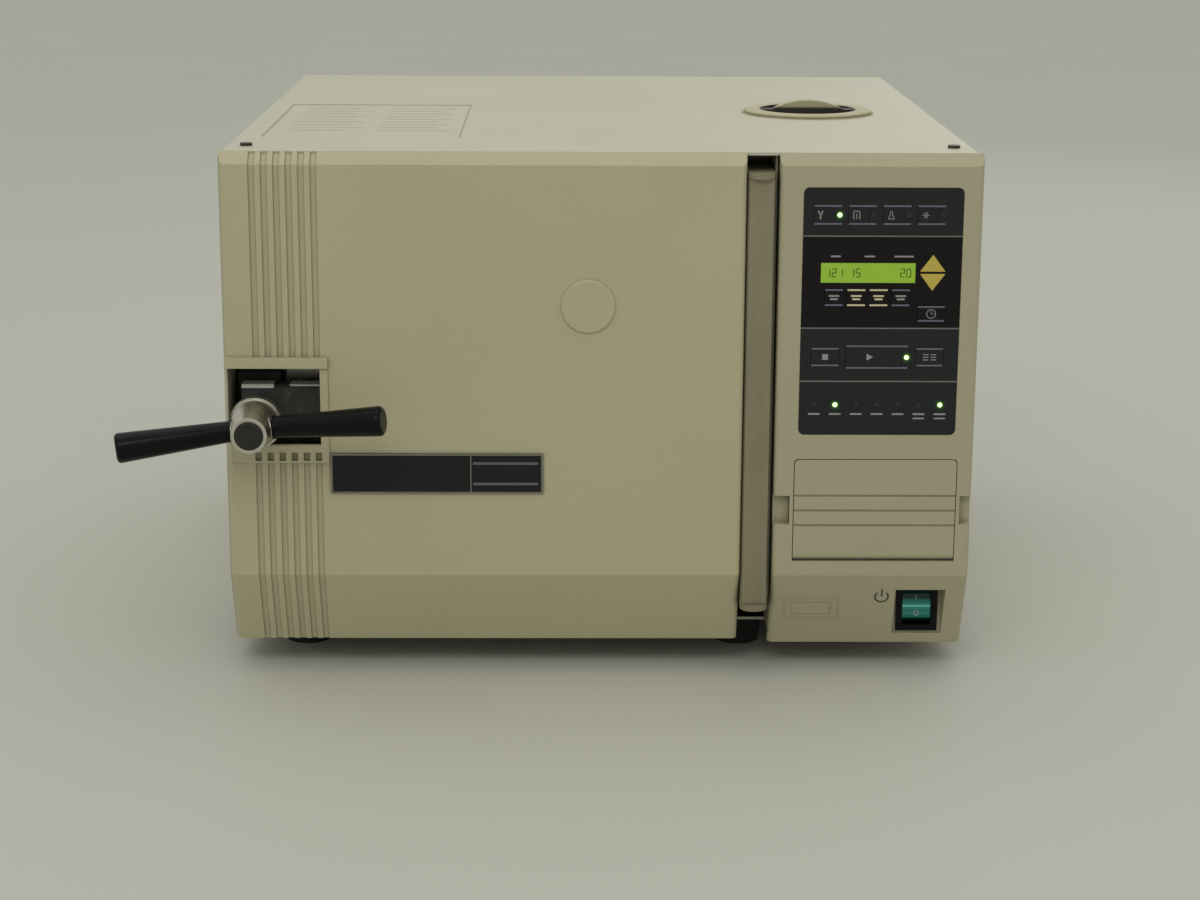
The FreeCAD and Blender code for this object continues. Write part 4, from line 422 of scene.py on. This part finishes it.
def rubber(name="rubber", colour=(0.018, 0.018, 0.017), gloss=0.72):
    """Moulded rubber with a dusty bloom."""
    finish = Finish(name, colour, gloss, Specular_IOR_Level=0.3)
    finish.soft_edges(0.6)
    bloom = finish.remap(finish.noise(45, 5), 0.42, 0.72, 0, 0.6)
    finish.set("Base Color", finish.mix(bloom, finish.colour, finish.shade(2.2)))
    finish.set("Roughness", finish.remap(bloom, 0, 0.6, gloss - 0.1, gloss + 0.14))
    finish.bump(finish.noise(700, 3), 0.25, 0.15)
    return finish.material


def brass():
    """Machined brass, dulled by steam and heat."""
    finish = Finish("brass", (0.60, 0.42, 0.16), 0.3, metallic=1.0)
    finish.soft_edges(0.35)
    tarnish = finish.remap(finish.noise(55, 6, roughness=0.65), 0.38, 0.72)
    finish.set("Base Color", finish.mix(tarnish, finish.colour, (0.20, 0.115, 0.045)))
    finish.set("Roughness", finish.remap(tarnish, 0, 1, 0.22, 0.55))
    finish.bump(finish.noise(600, 4, stretch=(0.2, 2, 0.2)), 0.12, 0.08)
    return finish.material


def tank_plastic():
    """Milky blow-moulded tank wall that lets some light through."""
    finish = Finish("tank_plastic", (0.72, 0.735, 0.70), 0.38, Transmission_Weight=0.18,
                    Subsurface_Weight=0.25, Specular_IOR_Level=0.4)
    finish.soft_edges(0.8)
    haze = finish.noise(14, 4)
    finish.set("Base Color", finish.mix(haze, finish.shade(0.9), finish.shade(1.06)))
    finish.set("Roughness", finish.remap(haze, 0.3, 0.7, 0.3, 0.5))
    finish.bump(finish.noise(35, 2), 0.3, 1.0)
    return finish.material


def circuit():
    """Solder-masked board with its tracks and pads."""
    finish = Finish("circuit", (0.018, 0.11, 0.04), 0.28, Coat_Weight=0.3)
    tracks = finish.node("TexBrick", offset=0.5, squash=0.7)
    finish.feed(tracks.inputs["Vector"], finish.place)
    tracks.inputs["Scale"].default_value = 130
    tracks.inputs["Mortar Size"].default_value = 0.03
    copper = finish.math("MULTIPLY", tracks.outputs["Fac"], 0.8)
    masked = finish.mix(copper, finish.colour, (0.05, 0.24, 0.08))
    pads = finish.remap(finish.cells(240), 0.10, 0.14, 1, 0)
    finish.set("Base Color", finish.mix(pads, masked, (0.55, 0.53, 0.48)))
    finish.set("Metallic", pads)
    finish.bump(tracks.outputs["Fac"], 0.3, 0.1)
    return finish.material


def lamp_places(node, lit):
    """The middles of the chosen solids of a lamp node, found from its mesh, in frame metres."""
    shell = bmesh.new()
    shell.from_mesh(frame["nodes"][node].data)
    bmesh.ops.remove_doubles(shell, verts=shell.verts, dist=MM / 100)
    islands, seen = [], set()
    for start in shell.verts:
        if start in seen:
            continue
        island, front = [], [start]
        seen.add(start)
        while front:
            vert = front.pop()
            island.append(vert.co.copy())
            for edge in vert.link_edges:
                other = edge.other_vert(vert)
                if other not in seen:
                    seen.add(other)
                    front.append(other)
        islands.append(sum(island, Vector()) / len(island))
    shell.free()
    islands.sort(key=lambda p: (-round(p.z / MM / 5), p.x))
    return [islands[number] for number in lit]


def near_places(finish, places, reach):
    """1 at the middle of any of the places, falling to 0 at reach millimetres from it."""
    result = 0.0
    for place in places:
        close = finish.remap(finish.away(place, (1, 0, 1)), 0, reach * MM, 1, 0)
        result = finish.math("MAXIMUM", close, result)
    return result


def overlay_film(name, lit, dark_band=None):
    """Printed polyester film in dark slate, textured, with a black field and a painted glow around
    each lit lamp.
    """
    finish = Finish(name, (0.0175, 0.0200, 0.0215), 0.5, Specular_IOR_Level=0.22)
    grain = finish.noise(1400, 2)
    tone = finish.mix(finish.remap(grain, 0.35, 0.65), finish.shade(0.85), finish.shade(1.15))
    if dark_band:
        height = finish.axis("Z")
        low, high = (edge * MM for edge in dark_band)
        above = finish.math("GREATER_THAN", height, low)
        below = finish.math("LESS_THAN", height, high)
        inside = finish.math("MULTIPLY", above, below)
        tone = finish.mix(inside, tone, (0.0045, 0.0038, 0.0045))
    finish.set("Base Color", tone)
    # Painted glow: the film around each lit lamp is given a green emission.
    painted_glow = near_places(finish, lit, 4.6)
    finish.set("Emission Color", (0.10, 0.42, 0.02, 1.0))
    finish.set("Emission Strength", finish.math("MULTIPLY", finish.math("POWER", painted_glow, 2.2), 0.5))
    finish.set("Roughness", finish.remap(grain, 0.3, 0.7, 0.42, 0.58))
    finish.bump(grain, 0.12, 0.05)
    finish.bump(finish.noise(30, 2), 0.08, 0.4)
    return finish.material


def yellow_film():
    """Yellow printed key film."""
    finish = Finish("key_yellow", (0.60, 0.47, 0.080), 0.42)
    finish.soft_edges(0.2)
    grain = finish.noise(1400, 2)
    finish.set("Base Color", finish.mix(finish.remap(grain, 0.3, 0.7), finish.shade(0.9),
                                        finish.shade(1.08)))
    finish.bump(grain, 0.12, 0.05)
    return finish.material


def display_glass():
    """Lit liquid-crystal display with its field of small square dots."""
    dot, dot_gap = 0.62, 0.16
    finish = Finish("display", (0.10, 0.17, 0.012), 0.2, Coat_Weight=0.5, Coat_Roughness=0.05)
    gaps = None
    for name in ("X", "Z"):
        cell = finish.math("FRACT", finish.math("DIVIDE", finish.axis(name), dot * MM))
        gap = finish.math("LESS_THAN", cell, dot_gap)
        gaps = gap if gaps is None else finish.math("MAXIMUM", gap, gaps)
    patch = finish.remap(finish.noise(45, 2), 0.3, 0.7, 0.0, 0.3)
    lit = finish.mix(gaps, (0.150, 0.290, 0.010), (0.185, 0.345, 0.014))
    left, right = span("display_module")[:2]
    across = finish.remap(finish.axis("X"), at(left, 0, 0).x, at(right, 0, 0).x, 0, 1)
    glow = finish.mix(patch, lit, (0.23, 0.40, 0.02))
    finish.set("Emission Color", finish.mix(across, glow, (0.17, 0.31, 0.01)))
    finish.set("Emission Strength", 0.85)
    return finish.material


def lamp_lens(lit):
    """Green lamp lenses, the lit ones with a hot core."""
    finish = Finish("lamp", (0.012, 0.016, 0.012), 0.3, Coat_Weight=0.15)
    close = near_places(finish, lit, 1.9)
    core = finish.math("POWER", close, 0.6)
    finish.set("Emission Color", finish.mix(core, (0.18, 0.75, 0.05), (0.80, 1.0, 0.55)))
    switched = finish.math("GREATER_THAN", close, 0.02)
    finish.set("Emission Strength", finish.math("MULTIPLY", switched, 2.6))
    finish.bump(finish.cells(1800), 0.15, 0.1)
    return finish.material


def rocker_green():
    """Translucent green rocker: near-black at its upper end, lit from behind in its middle."""
    finish = Finish("rocker", (0.004, 0.030, 0.024), 0.26, Transmission_Weight=0.1,
                    Specular_IOR_Level=0.35)
    low, high = span("switch_rocker")[2:]
    height = finish.remap(finish.axis("Z"), low * MM, high * MM, 0, 1)
    wide = finish.remap(finish.math("ABSOLUTE", finish.math("SUBTRACT", height, 0.42)),
                        0.20, 0.30, 1, 0.04)
    line = finish.remap(finish.math("ABSOLUTE", finish.math("SUBTRACT", height, 0.50)),
                        0.0, 0.04, 1, 0)
    ribs = finish.math("SINE", finish.math("MULTIPLY", finish.axis("Z"), 2 * math.pi / (3 * MM)))
    lift = finish.math("MULTIPLY", wide, finish.remap(ribs, -1, 1, 0.62, 1.0))
    finish.set("Emission Color", finish.mix(line, (0.010, 0.105, 0.078), (0.12, 0.40, 0.34)))
    finish.set("Emission Strength", finish.math("MAXIMUM", lift, line))
    finish.bump(finish.noise(300, 3), 0.08, 0.1)
    return finish.material


def plate_face():
    """Black plate with a brushed aluminium rim that stands above the sunk fields."""
    finish = Finish("plate_face", (0.012, 0.012, 0.013), 0.36, Specular_IOR_Level=0.22)
    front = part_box("nameplate")[0].y
    rim = finish.math("LESS_THAN", finish.axis("Y"), front + 0.2 * MM)
    lines = finish.noise(600, 4, stretch=(0.06, 1, 1.5))
    silver = finish.mix(lines, (0.17, 0.165, 0.14), (0.30, 0.29, 0.25))
    grain = finish.mix(finish.noise(1200, 2), (0.009, 0.009, 0.0105), (0.016, 0.016, 0.017))
    finish.set("Base Color", finish.mix(rim, grain, silver))
    finish.set("Metallic", finish.math("MULTIPLY", rim, 0.7))
    finish.bump(lines, 0.1, 0.05)
    return finish.material


def ink(name, colour, roughness=0.5):
    """Screen-printed ink with slightly uneven cover."""
    finish = Finish(name, colour, roughness, Specular_IOR_Level=0.3)
    cover = finish.remap(finish.noise(1100, 4), 0.3, 0.7)
    finish.set("Base Color", finish.mix(cover, finish.shade(0.86), finish.shade(1.1)))
    finish.bump(finish.noise(1600, 2), 0.1, 0.03)
    return finish.material


# ---------------------------------------------------------------- outlines


def bar(left, right, low, high, corner=0.3):
    """A rectangle with round corners, as a loop of points."""
    points = []
    corner = min(corner, (right - left) / 2, (high - low) / 2)
    centres = ((right - corner, low + corner, -90), (right - corner, high - corner, 0),
               (left + corner, high - corner, 90), (left + corner, low + corner, 180))
    for x, z, start in centres:
        for step in range(ARC_STEPS + 1):
            angle = math.radians(start + 90 * step / ARC_STEPS)
            points.append((x + corner * math.cos(angle), z + corner * math.sin(angle)))
    return points


def stroke(start, end, width):
    """A straight mark of even width between two points."""
    along = (Vector(end) - Vector(start)).normalized()
    side = Vector((-along.y, along.x)) * width / 2
    return [tuple(point) for point in (Vector(start) - side, Vector(end) - side,
                                       Vector(end) + side, Vector(start) + side)]


def arc_band(x, z, radius, width, start=0.0, end=360.0, steps=40):
    """A piece of a ring, as a loop of points that runs out along one side and back."""
    outer, inner = [], []
    for step in range(steps + 1):
        angle = math.radians(start + (end - start) * step / steps)
        for loop, reach in ((outer, radius + width / 2), (inner, radius - width / 2)):
            loop.append((x + reach * math.cos(angle), z + reach * math.sin(angle)))
    return outer + inner[::-1]


def frame_sides(left, right, low, high, width):
    """Four marks that frame a rectangle."""
    return [bar(left, right, high - width, high, 0), bar(left, right, low, low + width, 0),
            bar(left, left + width, low + width, high - width, 0),
            bar(right - width, right, low + width, high - width, 0)]


class Face:
    """A flat surface to print on: a start point, the way across, the way up and the way out."""

    def __init__(self, start, across, up):
        self.start, self.across, self.up = start, across.normalized(), up.normalized()
        self.out = self.across.cross(self.up)

    def point(self, u, v, lift):
        return self.start + (self.across * u + self.up * v + self.out * lift) * MM


def front_face(depth):
    """An upright face, depth millimetres behind the front plane."""
    return Face(at(0, depth, 0), Vector((1, 0, 0)), Vector((0, 0, 1)))


def slope_face():
    """The sloping foot of the front, measured by height along the slope from the crease."""
    return Face(at(0, 0, CREASE_Z), Vector((1, 0, 0)), Vector((0, -SLOPE_RUN, SLOPE_FALL)))


def along_slope(z):
    """How far up the slope, from the crease, a height z lies."""
    return (z - CREASE_Z) * math.hypot(SLOPE_RUN, SLOPE_FALL) / SLOPE_FALL


def top_face():
    """The casing's top, seen with the front edge down."""
    return Face(at(0, 0, CASING[1].z / MM), Vector((1, 0, 0)), Vector((0, 1, 0)))


def printed(name, face, outlines, body, material, proud=PRINT_PROUD, depth=PRINT_DEPTH):
    """Thin slabs of ink or raised plastic on a face, joined as one piece."""
    work = bmesh.new()
    for outline in outlines:
        fronts = [work.verts.new(face.point(u, v, proud)) for u, v in outline]
        backs = [work.verts.new(face.point(u, v, proud - depth)) for u, v in outline]
        work.faces.new(fronts)
        work.faces.new(backs[::-1])
        for here in range(len(outline)):
            after = (here + 1) % len(outline)
            work.faces.new((fronts[here], backs[here], backs[after], fronts[after]))
    bmesh.ops.remove_doubles(work, verts=work.verts, dist=MM / 1000)
    bmesh.ops.recalc_face_normals(work, faces=work.faces)
    mesh = bpy.data.meshes.new(name)
    work.to_mesh(mesh)
    work.free()
    piece = bpy.data.objects.new(name, mesh)
    bpy.context.scene.collection.objects.link(piece)
    mesh.materials.append(material)
    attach(piece, body)
    return piece


# ---------------------------------------------------------------- prints on the panel

KEY_INSET = 0.88
KEY_GAP = 0.53
LEGEND_BAR = 1.15
LAMP_KEY_BARS = {"key_program_1": 18.3, "key_program_2": 18.3, "key_program_3": 18.3,
                 "key_program_4": 18.3, "key_start": 41.5}
STATUS_LAMPS = 7
STATUS_HALF = 4
STATUS_BARS = ((187.9, 189.1), (185, 186))
TWO_LINE_LABELS = 2
DIVIDERS = (310.4, 247.8, 211.2)
DIVIDER_WIDTH = 0.9
GLASS_INSET = 1.2
DISPLAY_MARKS = ((6.5, 6.5), (29, 7), (49, 13))
DISPLAY_MARKS_LOW, DISPLAY_MARKS_HIGH = 296.2, 297.3


def key_face(name):
    """The visible (left, right, low, high) of a key, without its hidden flange and its play."""
    return span(name, KEY_INSET)


def bars_of(name):
    """The two marks along a key's top and bottom edges."""
    left, right, low, high = key_face(name)
    return [bar(left, right, high - LEGEND_BAR, high), bar(left, right, low, low + LEGEND_BAR)]


def bars_past(name, width):
    """The two marks above and below a key and the lamp beside it, on the film itself."""
    left, _, low, high = key_face(name)
    over, under = high + KEY_GAP, low - KEY_GAP
    return [bar(left, left + width, over, over + LEGEND_BAR),
            bar(left, left + width, under - LEGEND_BAR, under)]


def fork_icon(x, z):
    return [stroke((x, z - 3), (x, z), 0.9), stroke((x - 0.15, z - 0.2), (x - 1.6, z + 2.8), 0.8),
            stroke((x + 0.15, z - 0.2), (x + 1.6, z + 2.8), 0.8)]


def gown_icon(x, z):
    return [stroke((x - 2, z - 2.8), (x - 2, z + 2.6), 0.6),
            stroke((x + 2, z - 2.8), (x + 2, z + 2.6), 0.6),
            stroke((x - 2.3, z + 2.5), (x + 2.3, z + 2.5), 0.6),
            stroke((x, z - 2.8), (x, z + 1), 0.5)]


def flask_icon(x, z):
    return [stroke((x - 0.6, z + 2.8), (x - 0.6, z + 0.6), 0.5),
            stroke((x + 0.6, z + 2.8), (x + 0.6, z + 0.6), 0.5),
            stroke((x - 0.6, z + 0.7), (x - 2, z - 2.5), 0.5),
            stroke((x + 0.6, z + 0.7), (x + 2, z - 2.5), 0.5),
            stroke((x - 2.2, z - 2.6), (x + 2.2, z - 2.6), 0.5)]


def star_icon(x, z):
    marks = []
    for turn in (0, 60, 120):
        reach = Vector((math.cos(math.radians(turn)), math.sin(math.radians(turn)))) * 2.4
        marks.append(stroke((x - reach.x, z - reach.y), (x + reach.x, z + reach.y), 0.5))
    return marks


def clock_icon(x, z):
    return [arc_band(x, z, 3, 0.5, 0, 180), arc_band(x, z, 3, 0.5, 180, 360),
            stroke((x, z - 0.2), (x, z + 2), 0.5), stroke((x - 0.2, z), (x + 1.5, z), 0.5)]


def square_icon(x, z):
    return [bar(x - 2, x + 2, z - 2, z + 2)]


def play_icon(x, z):
    return [[(x - 1.8, z - 2.4), (x + 2.6, z), (x - 1.8, z + 2.4)]]


def air_icon(x, z):
    marks = []
    for row in (-1.8, 0, 1.8):
        marks.append(stroke((x - 4.5, z + row), (x - 0.8, z + row), 0.6))
        marks.append(stroke((x + 0.8, z + row), (x + 4.5, z + row), 0.6))
    return marks


def word_icon(x, z):
    return [bar(x - 3.6, x + 3.6, z + 0.5, z + 1.7), bar(x - 2.7, x + 2.7, z - 1.7, z - 0.5)]


ICONS = {
    "key_program_1": (fork_icon, -2.6), "key_program_2": (gown_icon, -1.5),
    "key_program_3": (flask_icon, -1.5), "key_program_4": (star_icon, -1.5),
    "key_clock": (clock_icon, 0), "key_stop": (square_icon, 0), "key_start": (play_icon, -3),
    "key_dry": (air_icon, 0), "key_set_1": (word_icon, 0), "key_set_2": (word_icon, 0),
    "key_set_3": (word_icon, 0), "key_set_4": (word_icon, 0),
}
CREAM_KEYS = ("key_set_2", "key_set_3")


def key_legends(inks):
    """Each key's two bars and its picture, which move with the key."""
    for name, (icon, shift) in ICONS.items():
        left, right, low, high = key_face(name)
        face = front_face(front_of(name))
        x, z = (left + right) / 2 + shift, (low + high) / 2
        frame_ink = inks["cream"] if name in CREAM_KEYS else inks["slate"]
        picture = inks["cream"] if name in CREAM_KEYS else inks["pale"]
        if name in LAMP_KEY_BARS:
            film = front_face(front_of("membrane_overlay"))
            marks = bars_past(name, LAMP_KEY_BARS[name])
            printed(f"legend_bars_{name}", film, marks, "root", frame_ink)
        else:
            printed(f"legend_bars_{name}", face, bars_of(name), f"{name}_cap", frame_ink)
        printed(f"legend_icon_{name}", face, icon(x, z), f"{name}_cap", picture)


def panel_prints(inks):
    """Dividing lines, the marks over the display and those under the row of lamps."""
    left, right = span("membrane_overlay")[:2]
    face = front_face(front_of("membrane_overlay"))
    half = DIVIDER_WIDTH / 2
    lines = [bar(left, right, z - half, z + half, 0) for z in DIVIDERS]
    printed("overlay_dividers", face, lines, "root", inks["line"])
    glass_left = span("display_module", GLASS_INSET)[0]
    marks = [bar(glass_left + start, glass_left + start + width, DISPLAY_MARKS_LOW,
                 DISPLAY_MARKS_HIGH) for start, width in DISPLAY_MARKS]
    printed("display_marks", face, marks, "root", inks["pale"])
    lamps = lamp_places("indicator_leds", range(-STATUS_LAMPS, 0))
    labels = []
    for number, lamp in enumerate(lamps):
        x = (lamp.x - MIDDLE_X) / MM
        rows = STATUS_BARS if number >= STATUS_LAMPS - TWO_LINE_LABELS else STATUS_BARS[:1]
        labels += [bar(x - STATUS_HALF, x + STATUS_HALF, low, high) for low, high in rows]
    printed("status_marks", face, labels, "root", inks["pale"])


SEGMENTS = {"0": "abcdef", "1": "bc", "2": "abged", "5": "afgcd"}
SEGMENT_ENDS = {"a": (0, 1, 1, 1), "b": (1, 1, 1, 0.5), "c": (1, 0.5, 1, 0), "d": (0, 0, 1, 0),
                "e": (0, 0.5, 0, 0), "f": (0, 1, 0, 0.5), "g": (0, 0.5, 1, 0.5)}


DIGIT_WIDTH, DIGIT_HEIGHT, DIGIT_LINE = 2.6, 5.4, 0.55
DIGIT_PITCH = DIGIT_WIDTH * 1.6


def digits(text, left, low):
    """Seven-segment figures in a row."""
    marks = []
    for place, figure in enumerate(text):
        x = left + DIGIT_PITCH * place
        for name in SEGMENTS[figure]:
            u0, v0, u1, v1 = SEGMENT_ENDS[name]
            marks.append(stroke((x + u0 * DIGIT_WIDTH, low + v0 * DIGIT_HEIGHT),
                                (x + u1 * DIGIT_WIDTH, low + v1 * DIGIT_HEIGHT), DIGIT_LINE))
    return marks


def display_digits(dark):
    """Temperature at the left and minutes at the right of the display."""
    left, right, low, high = span("display_module", GLASS_INSET)
    face = front_face(front_of("display_module"))
    base = (low + high - DIGIT_HEIGHT) / 2
    marks = (digits("121", left + 3.5, base) + digits("15", left + 19.5, base)
             + digits("20", right - 10, base))
    printed("display_figures", face, marks, "root", dark)


# ---------------------------------------------------------------- marks on the shells

SYMBOL_X, SYMBOL_HEIGHT, SYMBOL_LINE = 196.5, 57, 1.3
FRAME_LEFT, FRAME_RIGHT, FRAME_LOW, FRAME_HIGH = 128.5, 167, 38, 56
LABEL_LEFT, LABEL_RIGHT, LABEL_FRONT, LABEL_BACK = -236, -97, 88, 302
LABEL_SUNK = 0.4
LABEL_EDGE = 0.6
LABEL_ROWS, LABEL_ROW_PITCH = 9, 18
LABEL_COLUMNS, LABEL_COLUMN_PITCH = 2, 62
LABEL_RULE, LABEL_RULE_EXTRA = 40, 10
PLATE_INSET, PLATE_SUNK = 1.3, 0.4
PLATE_FIELD_LEFT = -86.5
PLATE_RULE_NEAR, PLATE_RULE_FAR = 4.6, 6.4


def slope_marks(inks, plastic):
    """Mains symbol beside the switch and the blank raised frame on the sloping foot."""
    x, z = SYMBOL_X, along_slope(SYMBOL_HEIGHT)
    symbol = [arc_band(x, z - 0.8, 4.6, SYMBOL_LINE, 130, 410),
              stroke((x, z - 0.5), (x, z + 6), SYMBOL_LINE)]
    printed("mains_symbol", slope_face(), symbol, "root", inks["brown"])
    low, high = along_slope(FRAME_LOW), along_slope(FRAME_HIGH)
    rim = frame_sides(FRAME_LEFT, FRAME_RIGHT, low, high, 1.1)
    rim += frame_sides(FRAME_LEFT + 5.5, FRAME_RIGHT - 5.5, low + 4, high - 4.5, 0.6)
    printed("blank_frame", slope_face(), rim, "root", plastic, 0.3, 0.6)


def top_label(inks):
    """Thin border and rules printed in the casing's sunk field."""
    marks = frame_sides(LABEL_LEFT + LABEL_EDGE, LABEL_RIGHT - LABEL_EDGE,
                        LABEL_FRONT + LABEL_EDGE, LABEL_BACK - LABEL_EDGE, 0.9)
    for row in range(LABEL_ROWS):
        z = LABEL_BACK - 26 - row * LABEL_ROW_PITCH
        for column in range(LABEL_COLUMNS):
            start = LABEL_LEFT + 16 + column * LABEL_COLUMN_PITCH
            end = start + LABEL_RULE + LABEL_RULE_EXTRA * ((row + column) % 2)
            marks.append(bar(start, end, z - 1, z + 1, 0.4))
    face = top_face()
    face.start = face.start - face.out * LABEL_SUNK * MM
    printed("top_label", face, marks, "root", inks["tan"])


def plate_marks(inks):
    """Two light rules across the plate's small field."""
    _, right, low, high = span("nameplate", PLATE_INSET)
    face = front_face(front_of("nameplate") + PLATE_SUNK)
    start, end = PLATE_FIELD_LEFT, right - 2
    rules = [bar(start, end, high - PLATE_RULE_FAR, high - PLATE_RULE_NEAR),
             bar(start, end, low + PLATE_RULE_NEAR, low + PLATE_RULE_FAR)]
    printed("plate_rules", face, rules, "door", inks["silver"])


def rocker_marks(inks):
    """The line on the rocker's upright upper face and the ring on its sloping lower one."""
    left, right, low, high = span("switch_rocker")
    x, z = (left + right) / 2, (low + high) / 2
    depth = (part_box("switch_rocker")[1].y - FRONT_Y) / MM - ROCKER_FACE
    printed("rocker_line", front_face(depth), [bar(x - 0.35, x + 0.35, z + 4.6, z + 7.8)], "rocker",
            inks["pale"])
    lower = Face(at(x, depth, z + ROCKER_CREASE), Vector((1, 0, 0)),
                 Vector((0, ROCKER_FLARE, ROCKER_DROP)))
    ring = [arc_band(0, -6.3, 1.7, 0.6, 0, 180), arc_band(0, -6.3, 1.7, 0.6, 180, 360)]
    printed("rocker_ring", lower, ring, "rocker", inks["pale"])


# ---------------------------------------------------------------- stage

FLOOR_HALF = 14
ROOM_LOW, ROOM_HIGH = -0.1, 0.9
ROOM_DIM, ROOM_BRIGHT = 0.55, 0.98
LENS, SENSOR = 74.04, 36
CAMERA_PLACE = (-22.5, -1631.5, 568)
CAMERA_ANGLES = (13.94, 0.79, 0.30)


def add_floor():
    """A wide pale bench top with a very soft mottle."""
    half = FLOOR_HALF
    finish = Finish("bench", (0.56, 0.56, 0.515), 0.7, Specular_IOR_Level=0.15)
    finish.set("Base Color", finish.mix(finish.noise(2.5, 3), finish.shade(0.98),
                                        finish.shade(1.02)))
    mesh = bpy.data.meshes.new("bench")
    mesh.from_pydata([(-half, -half, 0), (half, -half, 0), (half, half, 0), (-half, half, 0)],
                     [], [(0, 1, 2, 3)])
    mesh.materials.append(finish.material)
    floor = bpy.data.objects.new("bench", mesh)
    bpy.context.scene.collection.objects.link(floor)


def add_light(name, place, aim, size, power, colour=(1, 1, 1)):
    """One soft box that looks at a point."""
    data = bpy.data.lights.new(name, "AREA")
    data.shape = "RECTANGLE"
    data.size, data.size_y = size
    data.energy = power
    data.color = colour
    light = bpy.data.objects.new(name, data)
    light.location = place
    light.rotation_euler = (Vector(aim) - Vector(place)).to_track_quat("-Z", "Y").to_euler()
    bpy.context.scene.collection.objects.link(light)


def add_lights():
    """Three large soft boxes, in pale surroundings that brighten towards the ceiling."""
    centre = (0, 0, 0.18)
    add_light("overhead", (0.15, 0.1, 2.3), centre, (2.2, 1.6), 4.5, (1, 0.99, 0.95))
    add_light("front_fill", (-0.6, -2.9, 2.6), centre, (2.0, 1.2), 18, (1, 0.98, 0.94))
    add_light("back_rim", (1.2, 2.2, 1.3), centre, (1.8, 1.0), 3, (0.98, 0.99, 1))
    world = bpy.data.worlds.new("room")
    world.use_nodes = True
    nodes, links = world.node_tree.nodes, world.node_tree.links
    background = nodes["Background"]
    background.inputs["Color"].default_value = (0.74, 0.745, 0.69, 1)
    direction = nodes.new("ShaderNodeTexCoord")
    height = nodes.new("ShaderNodeSeparateXYZ")
    rise = nodes.new("ShaderNodeMapRange")
    for socket, value in zip(rise.inputs[1:5], (ROOM_LOW, ROOM_HIGH, ROOM_DIM, ROOM_BRIGHT)):
        socket.default_value = value
    links.new(direction.outputs["Generated"], height.inputs[0])
    links.new(height.outputs["Z"], rise.inputs[0])
    links.new(rise.outputs[0], background.inputs["Strength"])
    bpy.context.scene.world = world


def add_camera():
    """A view of the whole machine from the front and a little above it."""
    data = bpy.data.cameras.new("view")
    data.sensor_width = SENSOR
    data.lens = LENS
    pitch, yaw, roll = (math.radians(angle) for angle in CAMERA_ANGLES)
    forward = Vector((math.sin(yaw) * math.cos(pitch), math.cos(yaw) * math.cos(pitch),
                      -math.sin(pitch)))
    camera = bpy.data.objects.new("view", data)
    camera.location = at(*CAMERA_PLACE)
    turn = forward.to_track_quat("-Z", "Y") @ Quaternion((0, 0, 1), roll)
    camera.rotation_euler = turn.to_euler()
    bpy.context.scene.collection.objects.link(camera)
    bpy.context.scene.camera = camera


# ---------------------------------------------------------------- putting it together

LIT_LAMPS = (0, 4, 6, 11)


def finishes():
    """Every material slot of the record with its material."""
    lit = lamp_places("indicator_leds", LIT_LAMPS)
    black_field = (DIVIDERS[1], DIVIDERS[0])
    return {
        "casing_enamel": enamel(),
        "ivory_moulding": moulding(),
        "zinc_sheet": zinc_sheet(),
        "vessel_steel": vessel_steel(),
        "bridge_iron": bridge_iron(),
        "turned_steel": turned_steel(),
        "black_moulding": gloss_black(),
        "felt": felt(),
        "rubber": rubber(),
        "silicone": rubber("silicone", (0.42, 0.40, 0.34), 0.55),
        "brass": brass(),
        "tank_plastic": tank_plastic(),
        "circuit": circuit(),
        "overlay": overlay_film("overlay", lit, black_field),
        "key_dark": overlay_film("key_dark", lit, black_field),
        "key_yellow": yellow_film(),
        "display": display_glass(),
        "lamp": lamp_lens(lit),
        "rocker": rocker_green(),
    }


def paint(node, material):
    """Give a node of the frame its material."""
    mesh = frame["nodes"][node].data
    mesh.materials.clear()
    mesh.materials.append(material)


def main():
    slots = finishes()
    for subpart in frame["record"]["subparts"]:
        paint(subpart["node"], slots[subpart["material_slot"]])
    paint("nameplate", plate_face())
    paint("hub_cap", satin_black())
    paint("tee_hub", turned_steel("hub_steel", sockets=True))
    paint("reservoir_cap", moulding("cap_moulding", dish=True))
    # The hinge post, brackets and pins take the enamel darkened as painted shade.
    hinge_shaded_paint = shaded_post_enamel()
    for node in ("hinge_post", "hinge_brackets", "hinge_pins"):
        paint(node, hinge_shaded_paint)
    panel_plastic = moulding("panel_moulding", (0.435, 0.402, 0.272))
    for node in ("panel_housing", "bay_flap"):
        paint(node, panel_plastic)
    paint("casing_screws", screw_black())
    inks = {
        "slate": ink("ink_slate", (0.15, 0.16, 0.225)),
        "pale": ink("ink_pale", (0.33, 0.33, 0.34)),
        "cream": ink("ink_cream", (0.72, 0.66, 0.42)),
        "line": ink("ink_line", (0.19, 0.185, 0.165)),
        "brown": ink("ink_brown", (0.075, 0.07, 0.05)),
        "tan": ink("ink_tan", (0.37, 0.32, 0.21)),
        "silver": ink("ink_silver", (0.13, 0.135, 0.14), 0.35),
    }
    key_legends(inks)
    panel_prints(inks)
    display_digits(ink("ink_digit", (0.02, 0.045, 0.006)))
    slope_marks(inks, panel_plastic)
    top_label(inks)
    plate_marks(inks)
    rocker_marks(inks)
    add_floor()
    add_lights()
    add_camera()
    bpy.context.scene.view_settings.view_transform = "Standard"


main()
